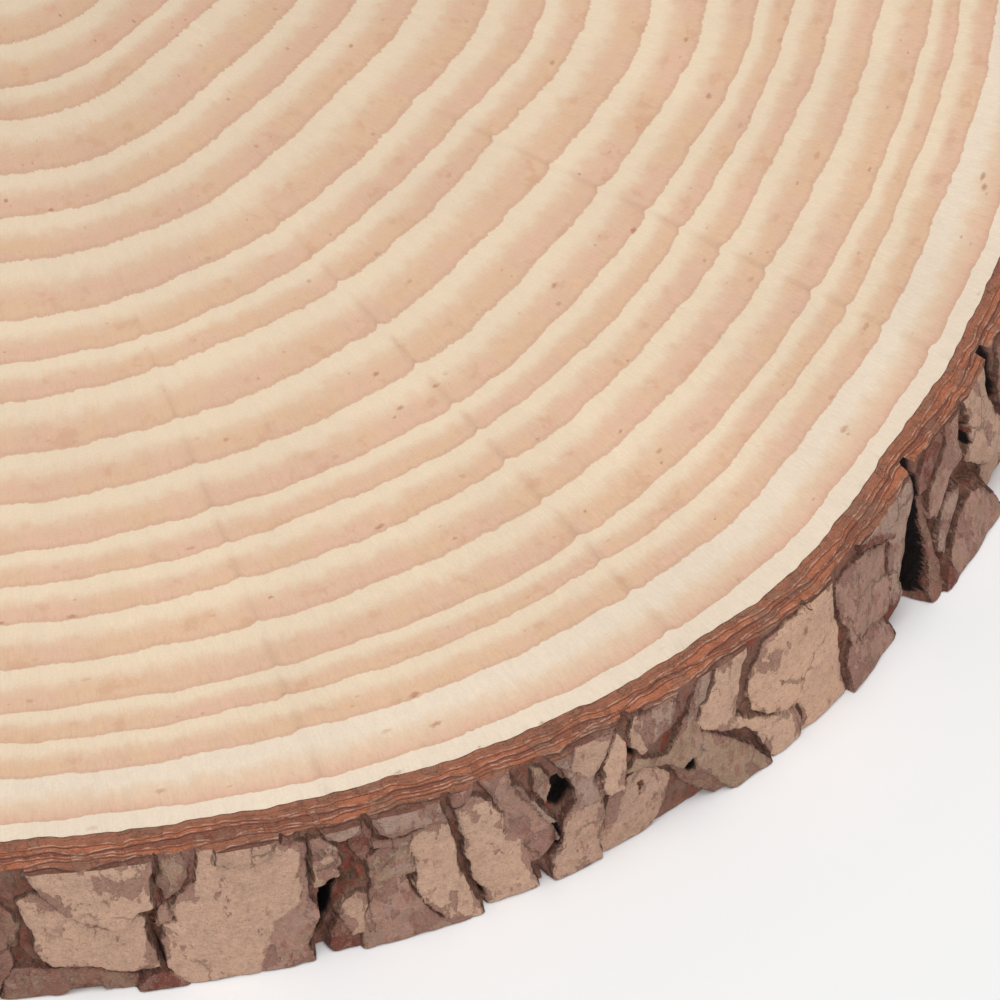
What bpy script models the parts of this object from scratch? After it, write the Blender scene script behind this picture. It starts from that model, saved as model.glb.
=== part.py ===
"""Slice of a pine trunk, sawn square across the grain, with its plated bark still on.

The script is in metres, +Z up. The pith crosses the underside at the origin and the slice lies on z = 0.
Azimuths are in degrees, anticlockwise from +X seen from above. The bark is drawn unrolled: an outline's
corner is (azimuth in degrees, height above the underside in mm), and a rise is in mm out from the cambium,
the line where wood and bark meet.
"""

import bmesh
import bpy
import numpy as np

MM = 0.001

# Whole slice
THICKNESS = 19.0
CAMBIUM_RADIUS = 117.45
# The trunk isn't round: order of the lobe, azimuth of its crest, height of the crest
TRUNK_LOBES = (
    (1, -18.0, 0.80),
    (2, -44.0, 0.70),
    (3, -49.0, 0.65),
    (4, 39.5, 0.60),
    (5, 21.0, 0.56),
    (7, 1.0, 0.50),
)
# Single swellings and dents of the trunk: azimuth, height, half width in degrees
TRUNK_SWELLINGS = ((-45.5, 0.55, 4.0), (-37.5, -0.50, 4.0))
WOOD_TO_BARK = 0.3

# Bark
BARK_RADIUS = 124.5
FURROW_FOOT = 4.4
FURROW_HEAD = 2.2
EDGE_STEEPNESS = 3.0
EDGE_ROUND_DEPTH = 0.3
EDGE_ROUND_WIDTH = 0.6
HOLLOW_STEEPNESS = 4.0
LEAST_RISE = 0.6

# Mesh: columns of points round the trunk, closer together on the bark's near side
WOOD_STATIONS = 240
NEAR_START = -92.0
NEAR_END = -26.0
NEAR_STATIONS = 144
FAR_STATIONS = 396
BARK_HEIGHTS = (0.0, 1.6, 4.0, 6.8, 9.6, 12.4, 15.2, 17.6, 19.0)

# Bark plates on the near side, from left to right: rise at the underside, rise at the top, outline.
# A plate that lies over another starts higher than it.
NEAR_PLATES = (
    (5.9, 3.2, ((-92.0, -0.5), (-85.2, -0.5), (-84.3, 4.6), (-84.1, 9.5), (-84.6, 14.0), (-84.6, 19.5),
                (-92.0, 19.5))),
    (5.5, 3.0, ((-85.2, 5.5), (-84.5, 6.8), (-83.8, 8.0), (-83.6, 10.5), (-84.1, 13.0), (-84.9, 14.5))),
    (5.8, 2.6, ((-85.0, -0.5), (-84.4, 4.2), (-82.6, 4.0), (-81.4, 3.6), (-79.8, 2.6), (-78.8, 2.0),
                (-78.6, -0.5))),
    (6.0, 2.8, ((-83.7, 14.4), (-83.0, 15.6), (-82.0, 15.0), (-79.0, 13.0), (-78.25, 10.0), (-78.05, 6.0),
                (-77.95, 2.4), (-79.2, 2.5), (-80.8, 3.5), (-82.3, 4.2), (-82.9, 5.6), (-83.1, 8.0),
                (-83.4, 11.0))),
    (6.9, 3.4, ((-83.0, 19.5), (-83.0, 17.6), (-82.2, 14.6), (-81.4, 12.0), (-80.7, 10.4), (-79.8, 9.7),
                (-79.0, 10.0), (-78.5, 11.3), (-77.8, 12.2), (-77.75, 14.8), (-77.6, 19.5))),
    (5.8, 2.8, ((-77.45, 19.5), (-77.45, 14.6), (-77.2, 12.6), (-76.5, 13.2), (-76.2, 15.0), (-76.1, 19.5))),
    (5.5, 2.6, ((-76.1, 19.5), (-76.2, 15.0), (-76.0, 13.6), (-75.7, 15.2), (-75.6, 19.5))),
    (5.8, 2.9, ((-78.0, 8.6), (-77.7, 11.6), (-77.1, 12.0), (-76.9, 10.4), (-77.1, 8.8), (-77.6, 8.2))),
    (6.5, 2.8, ((-79.2, -0.5), (-78.6, 1.8), (-77.9, 2.2), (-77.3, 1.4), (-76.7, -0.5))),
    (6.2, 2.6, ((-73.6, -0.5), (-73.4, 8.0), (-71.4, 9.4), (-70.9, 8.6), (-70.75, 6.0), (-71.15, 2.6),
                (-71.3, -0.5))),
    (5.6, 3.0, ((-71.6, 8.6), (-71.6, 17.5), (-71.0, 17.5), (-71.0, 8.6))),
    (6.3, 2.9, ((-75.6, 19.5), (-75.6, 16.6), (-75.9, 14.4), (-76.6, 12.8), (-77.0, 11.2), (-76.9, 9.4),
                (-77.5, 8.6), (-77.65, 5.0), (-77.6, 2.4), (-77.1, 0.4), (-76.7, -0.5), (-73.5, -0.5),
                (-73.2, 4.0), (-72.6, 7.0), (-71.6, 8.8), (-71.3, 12.0), (-71.2, 17.0), (-72.0, 17.4),
                (-72.2, 19.5))),
    (7.0, 3.5, ((-74.9, 19.5), (-74.9, 17.0), (-74.3, 16.2), (-73.2, 16.0), (-72.4, 17.0), (-72.2, 19.5))),
    (5.6, 2.9, ((-72.0, 19.5), (-72.0, 17.0), (-71.5, 16.6), (-71.2, 19.5))),
    (6.2, 3.3, ((-70.85, 18.4), (-70.85, 11.0), (-70.6, 10.7), (-69.9, 10.8), (-69.4, 13.4),
                (-69.7, 16.4), (-70.2, 18.2))),
    (6.6, 3.6, ((-70.3, 19.5), (-69.9, 17.7), (-69.3, 16.9), (-68.6, 17.2), (-68.5, 19.5))),
    (6.1, 3.4, ((-70.0, 6.2), (-69.5, 7.8), (-69.0, 8.3), (-68.7, 7.6), (-68.7, 4.6), (-69.0, 2.0),
                (-69.5, 1.8), (-69.9, 4.4))),
    (5.7, 2.6, ((-70.5, 0.8), (-70.4, 3.2), (-70.1, 4.6), (-69.2, 3.0), (-69.2, -0.5), (-70.2, -0.5))),
    (6.2, 2.8, ((-69.4, -0.5), (-68.7, 4.6), (-68.6, 8.4), (-68.2, 9.4), (-66.9, 9.2), (-66.3, 5.0),
                (-65.6, 1.6), (-64.2, 0.8), (-64.0, -0.5))),
    (5.4, 2.8, ((-69.1, 18.0), (-69.0, 14.0), (-68.6, 12.4), (-68.2, 12.6), (-68.1, 15.4), (-68.3, 18.0))),
    (6.0, 3.0, ((-68.5, 8.6), (-68.3, 13.2), (-67.6, 13.8), (-66.4, 13.6), (-66.4, 9.0))),
    (6.3, 3.2, ((-66.4, 15.4), (-66.5, 9.2), (-66.3, 5.0), (-65.4, 1.4), (-63.7, -0.5), (-64.15, 5.0),
                (-64.55, 10.0), (-64.8, 15.4))),
    (6.3, 3.4, ((-68.3, 15.3), (-68.2, 14.2), (-67.6, 14.0), (-66.5, 13.8), (-66.4, 15.6), (-67.2, 15.2))),
    (6.9, 3.5, ((-68.0, 19.5), (-67.9, 16.8), (-67.2, 15.5), (-66.4, 16.0), (-65.7, 15.8), (-64.9, 15.2),
                (-64.85, 19.5))),
    (6.3, 3.3, ((-64.5, 19.5), (-64.5, 17.0), (-63.6, 17.0), (-63.5, 19.5))),
    (5.5, 3.4, ((-64.4, 16.6), (-63.5, 17.2), (-62.9, 16.0), (-62.4, 13.0), (-62.2, 10.6), (-61.4, 9.0),
                (-61.3, 6.6), (-61.2, 3.0), (-61.1, -0.5), (-63.4, -0.5), (-63.8, 5.0), (-64.2, 10.0))),
    (5.8, 3.0, ((-63.3, 19.5), (-63.0, 17.0), (-62.4, 13.0), (-62.2, 10.2), (-61.4, 8.6), (-61.3, 5.0),
                (-60.7, 4.6), (-60.1, 6.0), (-59.9, 8.6), (-60.5, 12.0), (-61.4, 16.0), (-61.8, 19.5))),
    (6.4, 3.5, ((-61.8, 17.6), (-61.0, 13.6), (-60.4, 10.0), (-60.2, 6.6), (-59.85, 6.8), (-59.85, 9.4),
                (-60.6, 12.8), (-61.4, 17.0))),
    (5.9, 3.0, ((-61.0, 18.4), (-60.7, 14.6), (-60.2, 11.8), (-60.0, 13.0), (-60.1, 15.6), (-60.5, 18.0))),
    (6.2, 3.1, ((-59.9, 19.5), (-59.7, 17.8), (-59.35, 15.0), (-59.1, 12.6), (-59.0, 11.0), (-59.3, 9.6),
                (-57.7, 9.4), (-57.9, 11.0), (-57.8, 13.6), (-57.0, 16.6), (-56.5, 19.5))),
    (5.6, 3.1, ((-59.3, 9.8), (-59.7, 7.0), (-60.3, 3.4), (-60.3, -0.5), (-58.0, -0.5), (-57.8, 4.0),
                (-57.6, 9.6))),
    (6.8, 3.7, ((-59.9, 19.5), (-59.7, 17.6), (-59.2, 16.8), (-58.9, 18.6), (-58.9, 19.5))),
    (6.8, 3.5, ((-59.0, 19.0), (-59.0, 16.0), (-58.4, 14.2), (-57.7, 14.6), (-57.2, 16.8), (-56.9, 19.0))),
    (6.5, 3.4, ((-56.7, 18.6), (-57.4, 15.0), (-57.7, 11.6), (-57.4, 9.6), (-56.7, 9.8), (-56.5, 12.6),
                (-56.4, 16.4))),
    (5.8, 2.9, ((-58.1, 13.4), (-58.0, 10.0), (-57.6, 9.2), (-57.3, 10.0), (-57.5, 12.8))),
    (5.0, 2.9, ((-58.0, -0.5), (-57.8, 4.0), (-57.4, 8.4), (-56.6, 9.6), (-55.6, 9.8), (-54.8, 8.8),
                (-54.2, 6.6), (-54.4, 2.6), (-55.2, -0.5))),
    (6.2, 2.7, ((-56.6, 11.0), (-56.0, 12.4), (-55.0, 11.2), (-54.2, 10.6), (-53.4, 14.2), (-52.6, 14.2),
                (-52.5, 10.6), (-51.0, 7.6), (-50.0, 4.6), (-48.9, -0.5), (-51.2, -0.5), (-52.4, 4.6),
                (-54.4, 9.0), (-55.6, 10.0))),
    (6.0, 3.0, ((-56.0, 18.6), (-56.1, 14.8), (-55.7, 12.6), (-55.1, 13.0), (-55.2, 18.6))),
    (6.2, 3.2, ((-55.4, 19.5), (-55.4, 15.0), (-55.0, 13.6), (-54.2, 14.2), (-53.7, 16.6), (-53.5, 19.5))),
    (5.4, 3.2, ((-54.4, 9.2), (-53.2, 10.2), (-52.4, 8.0), (-51.8, 5.0), (-51.2, 2.0), (-50.9, -0.5),
                (-52.0, -0.5), (-52.8, 1.6), (-53.6, 4.0))),
    (5.8, 3.0, ((-52.9, 17.0), (-52.5, 19.5), (-51.5, 19.5), (-52.0, 16.4), (-52.3, 14.8), (-52.9, 12.6),
                (-53.1, 14.4))),
    (5.7, 3.2, ((-51.4, 19.5), (-51.9, 16.4), (-52.3, 14.8), (-52.7, 12.6), (-52.4, 10.6), (-51.2, 8.6),
                (-50.0, 7.0), (-49.4, 4.0), (-48.8, -0.5), (-47.2, -0.5), (-47.2, 4.8), (-48.6, 5.6),
                (-49.9, 7.8), (-50.6, 9.6), (-50.6, 11.6), (-50.2, 15.0), (-49.7, 19.5))),
    (5.4, 3.3, ((-49.0, 17.6), (-47.6, 17.9), (-46.6, 18.1), (-46.4, 19.5), (-44.8, 19.5), (-44.7, 15.0),
                (-44.5, 9.0), (-44.3, 5.0), (-44.2, -0.5), (-47.1, -0.5), (-47.0, 4.8), (-48.2, 5.2),
                (-49.2, 6.8), (-49.9, 8.8), (-50.0, 11.2), (-49.6, 15.0))),
    (5.9, 2.9, ((-44.5, 17.0), (-43.4, 17.4), (-42.0, 17.0), (-40.6, 14.2), (-40.4, 8.0), (-40.5, 3.6),
                (-42.0, 5.2), (-43.6, 5.8), (-44.3, 12.0))),
    (6.3, 2.8, ((-44.1, -0.5), (-44.0, 6.0), (-42.0, 5.4), (-41.0, 4.0), (-40.3, 0.4), (-40.0, -0.5))),
    (6.2, 3.1, ((-43.0, 19.5), (-42.2, 18.4), (-41.0, 16.0), (-40.4, 13.6), (-40.5, 4.0), (-39.5, 4.2),
                (-39.3, 8.6), (-39.1, 11.4), (-38.8, 13.4), (-38.2, 15.2), (-38.1, 19.5))),
    (6.8, 3.3, ((-42.7, 18.6), (-41.6, 16.8), (-40.0, 13.8), (-39.9, 14.4), (-41.3, 17.4), (-42.3, 18.9))),
    (7.6, 1.8, ((-38.15, -0.5), (-37.8, 8.0), (-37.8, 14.6), (-37.2, 13.4), (-37.0, 7.0), (-37.1, -0.5))),
    (6.8, 3.0, ((-37.7, 14.2), (-37.4, 16.8), (-36.4, 19.5), (-35.4, 19.5), (-35.1, 17.6), (-36.0, 15.4),
                (-36.9, 13.8))),
    (7.5, 3.2, ((-37.2, 13.4), (-36.2, 14.6), (-35.4, 16.0), (-35.0, 18.0), (-34.9, 19.5), (-34.0, 19.5),
                (-34.2, 12.0), (-35.2, 12.4), (-36.8, 9.4), (-37.2, 10.6))),
    (7.6, 3.0, ((-37.0, 5.2), (-36.4, 8.6), (-35.5, 10.6), (-34.6, 9.8), (-34.8, 8.2), (-36.0, 6.2),
                (-36.6, 4.0))),
    (8.1, 2.8, ((-36.6, -0.5), (-36.3, 3.4), (-35.2, 6.2), (-34.0, 7.8), (-33.2, 6.4), (-32.2, 3.0),
                (-31.5, -0.5))),
    (8.2, 3.0, ((-37.1, -0.5), (-37.0, 2.6), (-36.5, 2.4), (-36.2, -0.5))),
    (7.6, 3.1, ((-33.5, 19.5), (-33.1, 14.0), (-33.4, 12.4), (-34.0, 11.2), (-32.6, 7.6), (-31.4, 6.8),
                (-30.2, 5.0), (-30.0, 8.6), (-30.9, 12.0), (-31.2, 16.4), (-31.2, 19.5))),
    (5.5, 3.2, ((-32.0, -0.5), (-32.0, 4.0), (-31.4, 6.2), (-30.2, 4.6), (-29.0, 3.0), (-28.6, -0.5))),
    (6.6, 3.4, ((-30.0, 9.0), (-28.8, 8.0), (-28.4, 19.5), (-29.8, 19.5), (-30.2, 14.0))),
)
# Cracks and holes on the near side: rise of the floor, outline
NEAR_HOLLOWS = (
    (2.2, ((-77.95, 8.8), (-77.9, 5.5), (-77.8, 2.6), (-77.7, 2.6), (-77.8, 5.5), (-77.8, 8.8))),
    (1.8, ((-77.6, 19.5), (-77.5, 17.6), (-77.4, 16.4), (-77.65, 14.8), (-77.5, 14.8), (-77.25, 16.4),
           (-77.4, 17.6), (-77.5, 19.5))),
    (3.2, ((-78.2, 9.2), (-78.1, 11.4), (-77.8, 12.0), (-77.8, 9.2))),
    (0.9, ((-70.1, 10.8), (-70.5, 8.0), (-70.8, 5.0), (-71.1, 2.2), (-70.9, 2.2), (-70.4, 5.0),
           (-70.1, 8.0), (-69.85, 10.8))),
    (1.8, ((-69.5, 17.0), (-69.35, 16.0), (-69.3, 15.0), (-69.15, 15.6), (-69.2, 17.0))),
    (2.6, ((-69.7, 8.6), (-69.7, 12.6), (-69.2, 13.4), (-68.95, 12.6), (-68.95, 9.0))),
    (2.3, ((-64.7, 15.6), (-64.4, 10.0), (-64.0, 5.0), (-63.6, 1.4), (-63.5, 1.4), (-63.9, 5.0),
           (-64.3, 10.0), (-64.6, 15.6))),
    (0.9, ((-60.2, 19.5), (-59.95, 17.6), (-59.7, 15.0), (-59.6, 12.0), (-59.45, 10.4), (-59.3, 11.4),
           (-59.4, 13.4), (-59.55, 15.2), (-59.8, 17.8), (-59.95, 19.5))),
    (3.8, ((-61.2, 3.6), (-60.8, 3.2), (-60.5, -0.5), (-60.7, -0.5))),
    (4.9, ((-81.5, -0.5), (-81.3, 1.2), (-80.7, 1.2), (-80.5, -0.5))),
    (2.8, ((-60.2, 9.6), (-59.9, 7.0), (-60.1, 5.0), (-60.0, 5.0), (-59.8, 7.2), (-60.1, 9.6))),
    (1.4, ((-56.3, 19.5), (-56.35, 18.2), (-56.25, 17.4), (-56.1, 18.4), (-55.95, 19.5))),
    (1.4, ((-56.3, 14.4), (-56.25, 13.2), (-56.0, 12.8), (-56.1, 14.0))),
    (2.6, ((-53.4, 7.4), (-53.2, 6.2), (-53.0, 6.8), (-53.1, 7.8))),
    (3.4, ((-55.8, 8.2), (-55.7, 6.8), (-55.55, 7.0), (-55.65, 8.2))),
    (1.6, ((-46.65, 19.5), (-46.5, 18.0), (-46.35, 18.0), (-46.3, 19.5))),
    (0.6, ((-37.9, 19.5), (-37.95, 15.6), (-38.4, 13.6), (-38.7, 11.0), (-38.9, 8.0), (-39.0, 4.6),
           (-38.8, 2.6), (-38.4, 2.0), (-38.15, 8.0), (-38.0, 15.0), (-37.5, 19.5))),
    (2.3, ((-33.85, 18.4), (-33.3, 15.0), (-33.25, 12.6), (-33.15, 12.6), (-33.2, 15.0), (-33.7, 18.4))),
    (1.4, ((-30.9, 19.5), (-30.85, 15.0), (-30.55, 12.0), (-30.3, 12.0), (-30.3, 16.0), (-30.1, 19.5))),
)

# Bark plates on the far side, which repeat the near side's sizes by a rule
NEAR_SPAN = (-88.0, -29.0)
FAR_SEED = 41
FAR_COLUMNS = 53
COLUMN_UNEVENNESS = 0.28
FURROW_WIDTHS = (0.35, 0.8)
DEEP_FURROW_EVERY = 7
DEEP_FURROW_WIDTH = 1.5
DEEP_FURROW_RISE = 0.9
FURROW_LEAN = 0.9
FURROW_KINK = 0.45
KINK_HEIGHTS = (0.0, 4.5, 9.5, 14.5, 19.0)
JOINT_HEIGHTS = ((), (10.0,), (6.5, 13.5))
JOINT_CHANCES = (0.3, 0.45, 0.25)
JOINT_SHIFT = 2.5
JOINT_SLOPE = 1.6
JOINT_GAP = 0.5
PLATE_FEET = (5.4, 6.8)
PLATE_HEADS = (2.7, 3.6)
FLAKE_CHANCE = 0.6
FLAKE_RISE = 0.75

# Ragged outlines: waves across the bark as cycles round the trunk, cycles per mm of height, shift in mm
RAGGED_WAVES = ((131, 0.11, 0.22), (217, -0.17, 0.16), (349, 0.31, 0.11), (523, -0.45, 0.07))

WOOD_COLOUR = (0.80, 0.64, 0.47, 1.0)
BARK_COLOUR = (0.30, 0.17, 0.11, 1.0)


def clear_scene():
    """Removes every object that the file opened with."""
    for thing in list(bpy.data.objects):
        bpy.data.objects.remove(thing, do_unlink=True)


def finish_of(name, colour, roughness):
    """Makes a plain rough material of one colour."""
    material = bpy.data.materials.new(name)
    material.use_nodes = True
    shader = material.node_tree.nodes["Principled BSDF"]
    shader.inputs["Base Color"].default_value = colour
    shader.inputs["Roughness"].default_value = roughness
    material.diffuse_color = colour
    return material


def add_object(name, mesh, material):
    """Puts a mesh into the scene as one named object with one material."""
    mesh.materials.append(material)
    thing = bpy.data.objects.new(name, mesh)
    bpy.context.scene.collection.objects.link(thing)
    return thing


def cambium(azimuth):
    """Radius of the wood in mm: a circle with a few cosine lobes and single bell-shaped swellings."""
    radius = np.full(np.shape(azimuth), CAMBIUM_RADIUS)
    for order, crest, height in TRUNK_LOBES:
        radius += height * np.cos(np.radians(order * (azimuth - crest)))
    for centre, height, half_width in TRUNK_SWELLINGS:
        off = (azimuth - centre + 180.0) % 360.0 - 180.0
        radius += height * np.exp(-((off / half_width) ** 2))
    return radius


def ragged(azimuth, height):
    """Shift in mm that makes straight outlines ragged: a few crossed sine waves."""
    turn = np.radians(azimuth)
    return sum(
        size * np.sin(cycles * turn + 2.0 * np.pi * climb * height + cycles)
        for cycles, climb, size in RAGGED_WAVES
    )


def distance_inside(across, height, corners):
    """Distance in mm from each point to a closed outline, positive inside it and negative outside."""
    start = np.asarray(corners)
    run = np.roll(start, -1, axis=0) - start
    off_x = across[:, None] - start[:, 0]
    off_z = height[:, None] - start[:, 1]
    along = (off_x * run[:, 0] + off_z * run[:, 1]) / (run**2).sum(axis=1)
    along = np.clip(along, 0.0, 1.0)
    nearest = np.hypot(off_x - along * run[:, 0], off_z - along * run[:, 1]).min(axis=1)
    end_height = start[:, 1] + run[:, 1]
    crosses = (start[:, 1] > height[:, None]) != (end_height > height[:, None])
    climb = np.where(run[:, 1] == 0.0, 1.0, run[:, 1])
    left_of = off_x < off_z / climb * run[:, 0]
    inside = (crosses & left_of).sum(axis=1) % 2 == 1
    return np.where(inside, nearest, -nearest)


def far_plates():
    """Plates and deep furrows of the far side.

    Meandering furrows run from the underside to the top, one to each column of bark. Slanting joints cut
    a column into plates, and about half of the columns carry a flake that hangs from the top in a point.
    """
    rng = np.random.default_rng(FAR_SEED)
    first, last = NEAR_SPAN[1], NEAR_SPAN[0] + 360.0
    pitch = (last - first) / FAR_COLUMNS
    centres = first + pitch * np.arange(FAR_COLUMNS + 1)
    centres[1:-1] += pitch * rng.uniform(-COLUMN_UNEVENNESS, COLUMN_UNEVENNESS, FAR_COLUMNS - 1)
    kinks = np.array(KINK_HEIGHTS)
    lean = rng.uniform(-FURROW_LEAN, FURROW_LEAN, FAR_COLUMNS + 1)
    wander = rng.uniform(-FURROW_KINK, FURROW_KINK, (FAR_COLUMNS + 1, len(kinks)))
    lines = centres[:, None] + lean[:, None] * (kinks / THICKNESS - 0.5) + wander
    widths = rng.uniform(*FURROW_WIDTHS, FAR_COLUMNS + 1)
    widths[DEEP_FURROW_EVERY::DEEP_FURROW_EVERY] = DEEP_FURROW_WIDTH
    plates = []
    hollows = []
    for column in range(FAR_COLUMNS):
        left = lines[column] + widths[column] / 2.0
        right = lines[column + 1] - widths[column + 1] / 2.0
        joints = JOINT_HEIGHTS[rng.choice(len(JOINT_HEIGHTS), p=JOINT_CHANCES)]
        cuts = [(0.0, 0.0)]
        for joint in joints:
            middle = joint + rng.uniform(-JOINT_SHIFT, JOINT_SHIFT)
            slope = rng.uniform(-JOINT_SLOPE, JOINT_SLOPE)
            cuts.append((middle - slope, middle + slope))
        cuts.append((KINK_HEIGHTS[-1], KINK_HEIGHTS[-1]))
        for below, above in zip(cuts[:-1], cuts[1:]):
            foot = rng.uniform(*PLATE_FEET)
            head = rng.uniform(*PLATE_HEADS)
            outline = []
            for edge, low, high, step in (
                (left, below[0], above[0], 1),
                (right, below[1], above[1], -1),
            ):
                low += JOINT_GAP / 2.0
                high -= JOINT_GAP / 2.0
                heights = [low, *[k for k in KINK_HEIGHTS if low < k < high], high]
                side = [(float(np.interp(h, kinks, edge)), h) for h in heights]
                outline += side[::step]
            plates.append((foot, head, tuple(outline)))
        if rng.random() < FLAKE_CHANCE:
            foot, head = plates[-1][:2]
            bottom = rng.uniform(7.0, 14.0)
            inner_left, inner_right = left[-1] + rng.uniform(0.1, 1.0), right[-1] - rng.uniform(0.1, 1.0)
            tip = rng.uniform(0.35, 0.65)
            point = inner_left + tip * (inner_right - inner_left)
            outline = (
                (inner_left, KINK_HEIGHTS[-1]),
                (inner_left + 0.2, bottom + 4.0),
                (point - 0.7, bottom + 0.6),
                (point + 0.6, bottom),
                (inner_right - 0.2, bottom + 3.2),
                (inner_right, KINK_HEIGHTS[-1]),
            )
            plates.append((foot + FLAKE_RISE, head + FLAKE_RISE, outline))
        if widths[column] == DEEP_FURROW_WIDTH:
            half = 0.3 * DEEP_FURROW_WIDTH
            low, high = rng.uniform(-1.0, 6.0), rng.uniform(13.0, 20.0)
            middle = (low + high) / 2.0
            line = lines[column]
            ends = [(float(np.interp(h, kinks, line)), h) for h in (low, middle, high)]
            centre = ends[1][0]
            outline = (ends[0], (centre - half, middle), ends[2], (centre + half, middle))
            hollows.append((DEEP_FURROW_RISE, outline))
    return tuple(plates), tuple(hollows)


def near_points(azimuth, outline, reach):
    """Which points lie near an outline, and the outline's corners in mm from its own middle."""
    corners = np.array(outline)
    middle = corners[:, 0].mean()
    off = (azimuth - middle + 180.0) % 360.0 - 180.0
    half = np.abs(corners[:, 0] - middle).max() + reach
    corners[:, 0] = np.radians(corners[:, 0] - middle) * BARK_RADIUS
    return np.abs(off) < half, np.radians(off) * BARK_RADIUS, corners


def bark_rise(azimuth, height):
    """Rise of the bark in mm over the cambium at points given by azimuth and height.

    The furrow floor is a slope from underside to top. Each plate is a tilted flat with a rounded rim and
    a steep edge, and the highest plate at a point wins. Hollows then cut down through all of them.
    """
    share = height / THICKNESS
    rise = FURROW_FOOT + (FURROW_HEAD - FURROW_FOOT) * share
    shift = ragged(azimuth, height)
    lifted = height + ragged(azimuth + 77.0, height)
    plates, hollows = far_plates()
    for foot, head, outline in NEAR_PLATES + plates:
        near, across, corners = near_points(azimuth, outline, 2.0)
        inside = distance_inside(across[near] + shift[near], lifted[near], corners)
        face = foot + (head - foot) * share[near]
        rim = EDGE_ROUND_DEPTH * np.exp(-np.maximum(inside, 0.0) / EDGE_ROUND_WIDTH)
        face += EDGE_STEEPNESS * np.minimum(inside, 0.0) - rim
        rise[near] = np.maximum(rise[near], face)
    for floor, outline in NEAR_HOLLOWS + hollows:
        near, across, corners = near_points(azimuth, outline, 2.0)
        inside = distance_inside(across[near] + shift[near], lifted[near], corners)
        wall = floor + HOLLOW_STEEPNESS * np.maximum(-inside, 0.0)
        rise[near] = np.minimum(rise[near], wall)
    return np.maximum(rise, LEAST_RISE)


def around(azimuth, radius, height):
    """Points in metres at an azimuth in degrees, and a radius and a height in mm."""
    turn = np.radians(azimuth)
    return np.stack([radius * np.cos(turn), radius * np.sin(turn), height + 0.0 * turn], axis=-1) * MM


def make_wood():
    """The wood: the outline inside the cambium as one face, extruded up by the thickness."""
    azimuth = 360.0 / WOOD_STATIONS * np.arange(WOOD_STATIONS)
    points = around(azimuth, cambium(azimuth) - WOOD_TO_BARK / 2.0, np.zeros(WOOD_STATIONS))
    bm = bmesh.new()
    underside = bm.faces.new([bm.verts.new(point) for point in points])
    raised = bmesh.ops.extrude_face_region(bm, geom=[underside])["geom"]
    corners = [item for item in raised if isinstance(item, bmesh.types.BMVert)]
    bmesh.ops.translate(bm, verts=corners, vec=(0.0, 0.0, THICKNESS * MM))
    bmesh.ops.recalc_face_normals(bm, faces=bm.faces)
    mesh = bpy.data.meshes.new("wood")
    bm.to_mesh(mesh)
    bm.free()
    mesh.shade_smooth()
    mesh.set_sharp_from_angle(angle=np.radians(40.0))
    return add_object("wood", mesh, finish_of("sawn_pine", WOOD_COLOUR, 0.75))


def make_bark():
    """The bark: a closed ring with a smooth inner wall against the wood and a plated outer wall.

    Every station round the trunk has the same loop of points: up the outer wall, then in and down the
    inner wall. Neighbouring loops are joined by four-sided faces.
    """
    near = np.linspace(NEAR_START, NEAR_END, NEAR_STATIONS, endpoint=False)
    far = np.linspace(NEAR_END, NEAR_START + 360.0, FAR_STATIONS, endpoint=False)
    station = np.concatenate([near, far])
    stations = len(station)
    azimuth, height = np.meshgrid(station, BARK_HEIGHTS, indexing="ij")
    rise = bark_rise(azimuth.ravel(), height.ravel()).reshape(azimuth.shape)
    outer = around(azimuth, cambium(azimuth) + rise, height)
    wood_side = cambium(station) + WOOD_TO_BARK / 2.0
    top = around(station, wood_side, np.full(stations, THICKNESS))
    bottom = around(station, wood_side, np.zeros(stations))
    loops = np.concatenate([outer, top[:, None], bottom[:, None]], axis=1)
    count = loops.shape[1]
    index = np.arange(stations * count).reshape(stations, count)
    onward = np.roll(index, -1, axis=0)
    faces = np.stack([index, onward, np.roll(onward, -1, axis=1), np.roll(index, -1, axis=1)], axis=-1)
    mesh = bpy.data.meshes.new("bark")
    mesh.from_pydata(loops.reshape(-1, 3).tolist(), [], faces.reshape(-1, 4).tolist())
    mesh.update()
    return add_object("bark", mesh, finish_of("pine_bark", BARK_COLOUR, 0.85))


clear_scene()
make_wood()
make_bark()
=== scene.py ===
"""Looks of a slice of pine trunk: sawn growth rings inside a rim of plated, furrowed bark.

Lengths are in millimetres until a mesh is made, and azimuths in degrees, anticlockwise from +X. The bark is
drawn unrolled: an outline's corner is (azimuth, height above the underside), and a rise is how far the bark
stands out from the cambium, the line where wood and bark meet.
"""

import math

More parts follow.
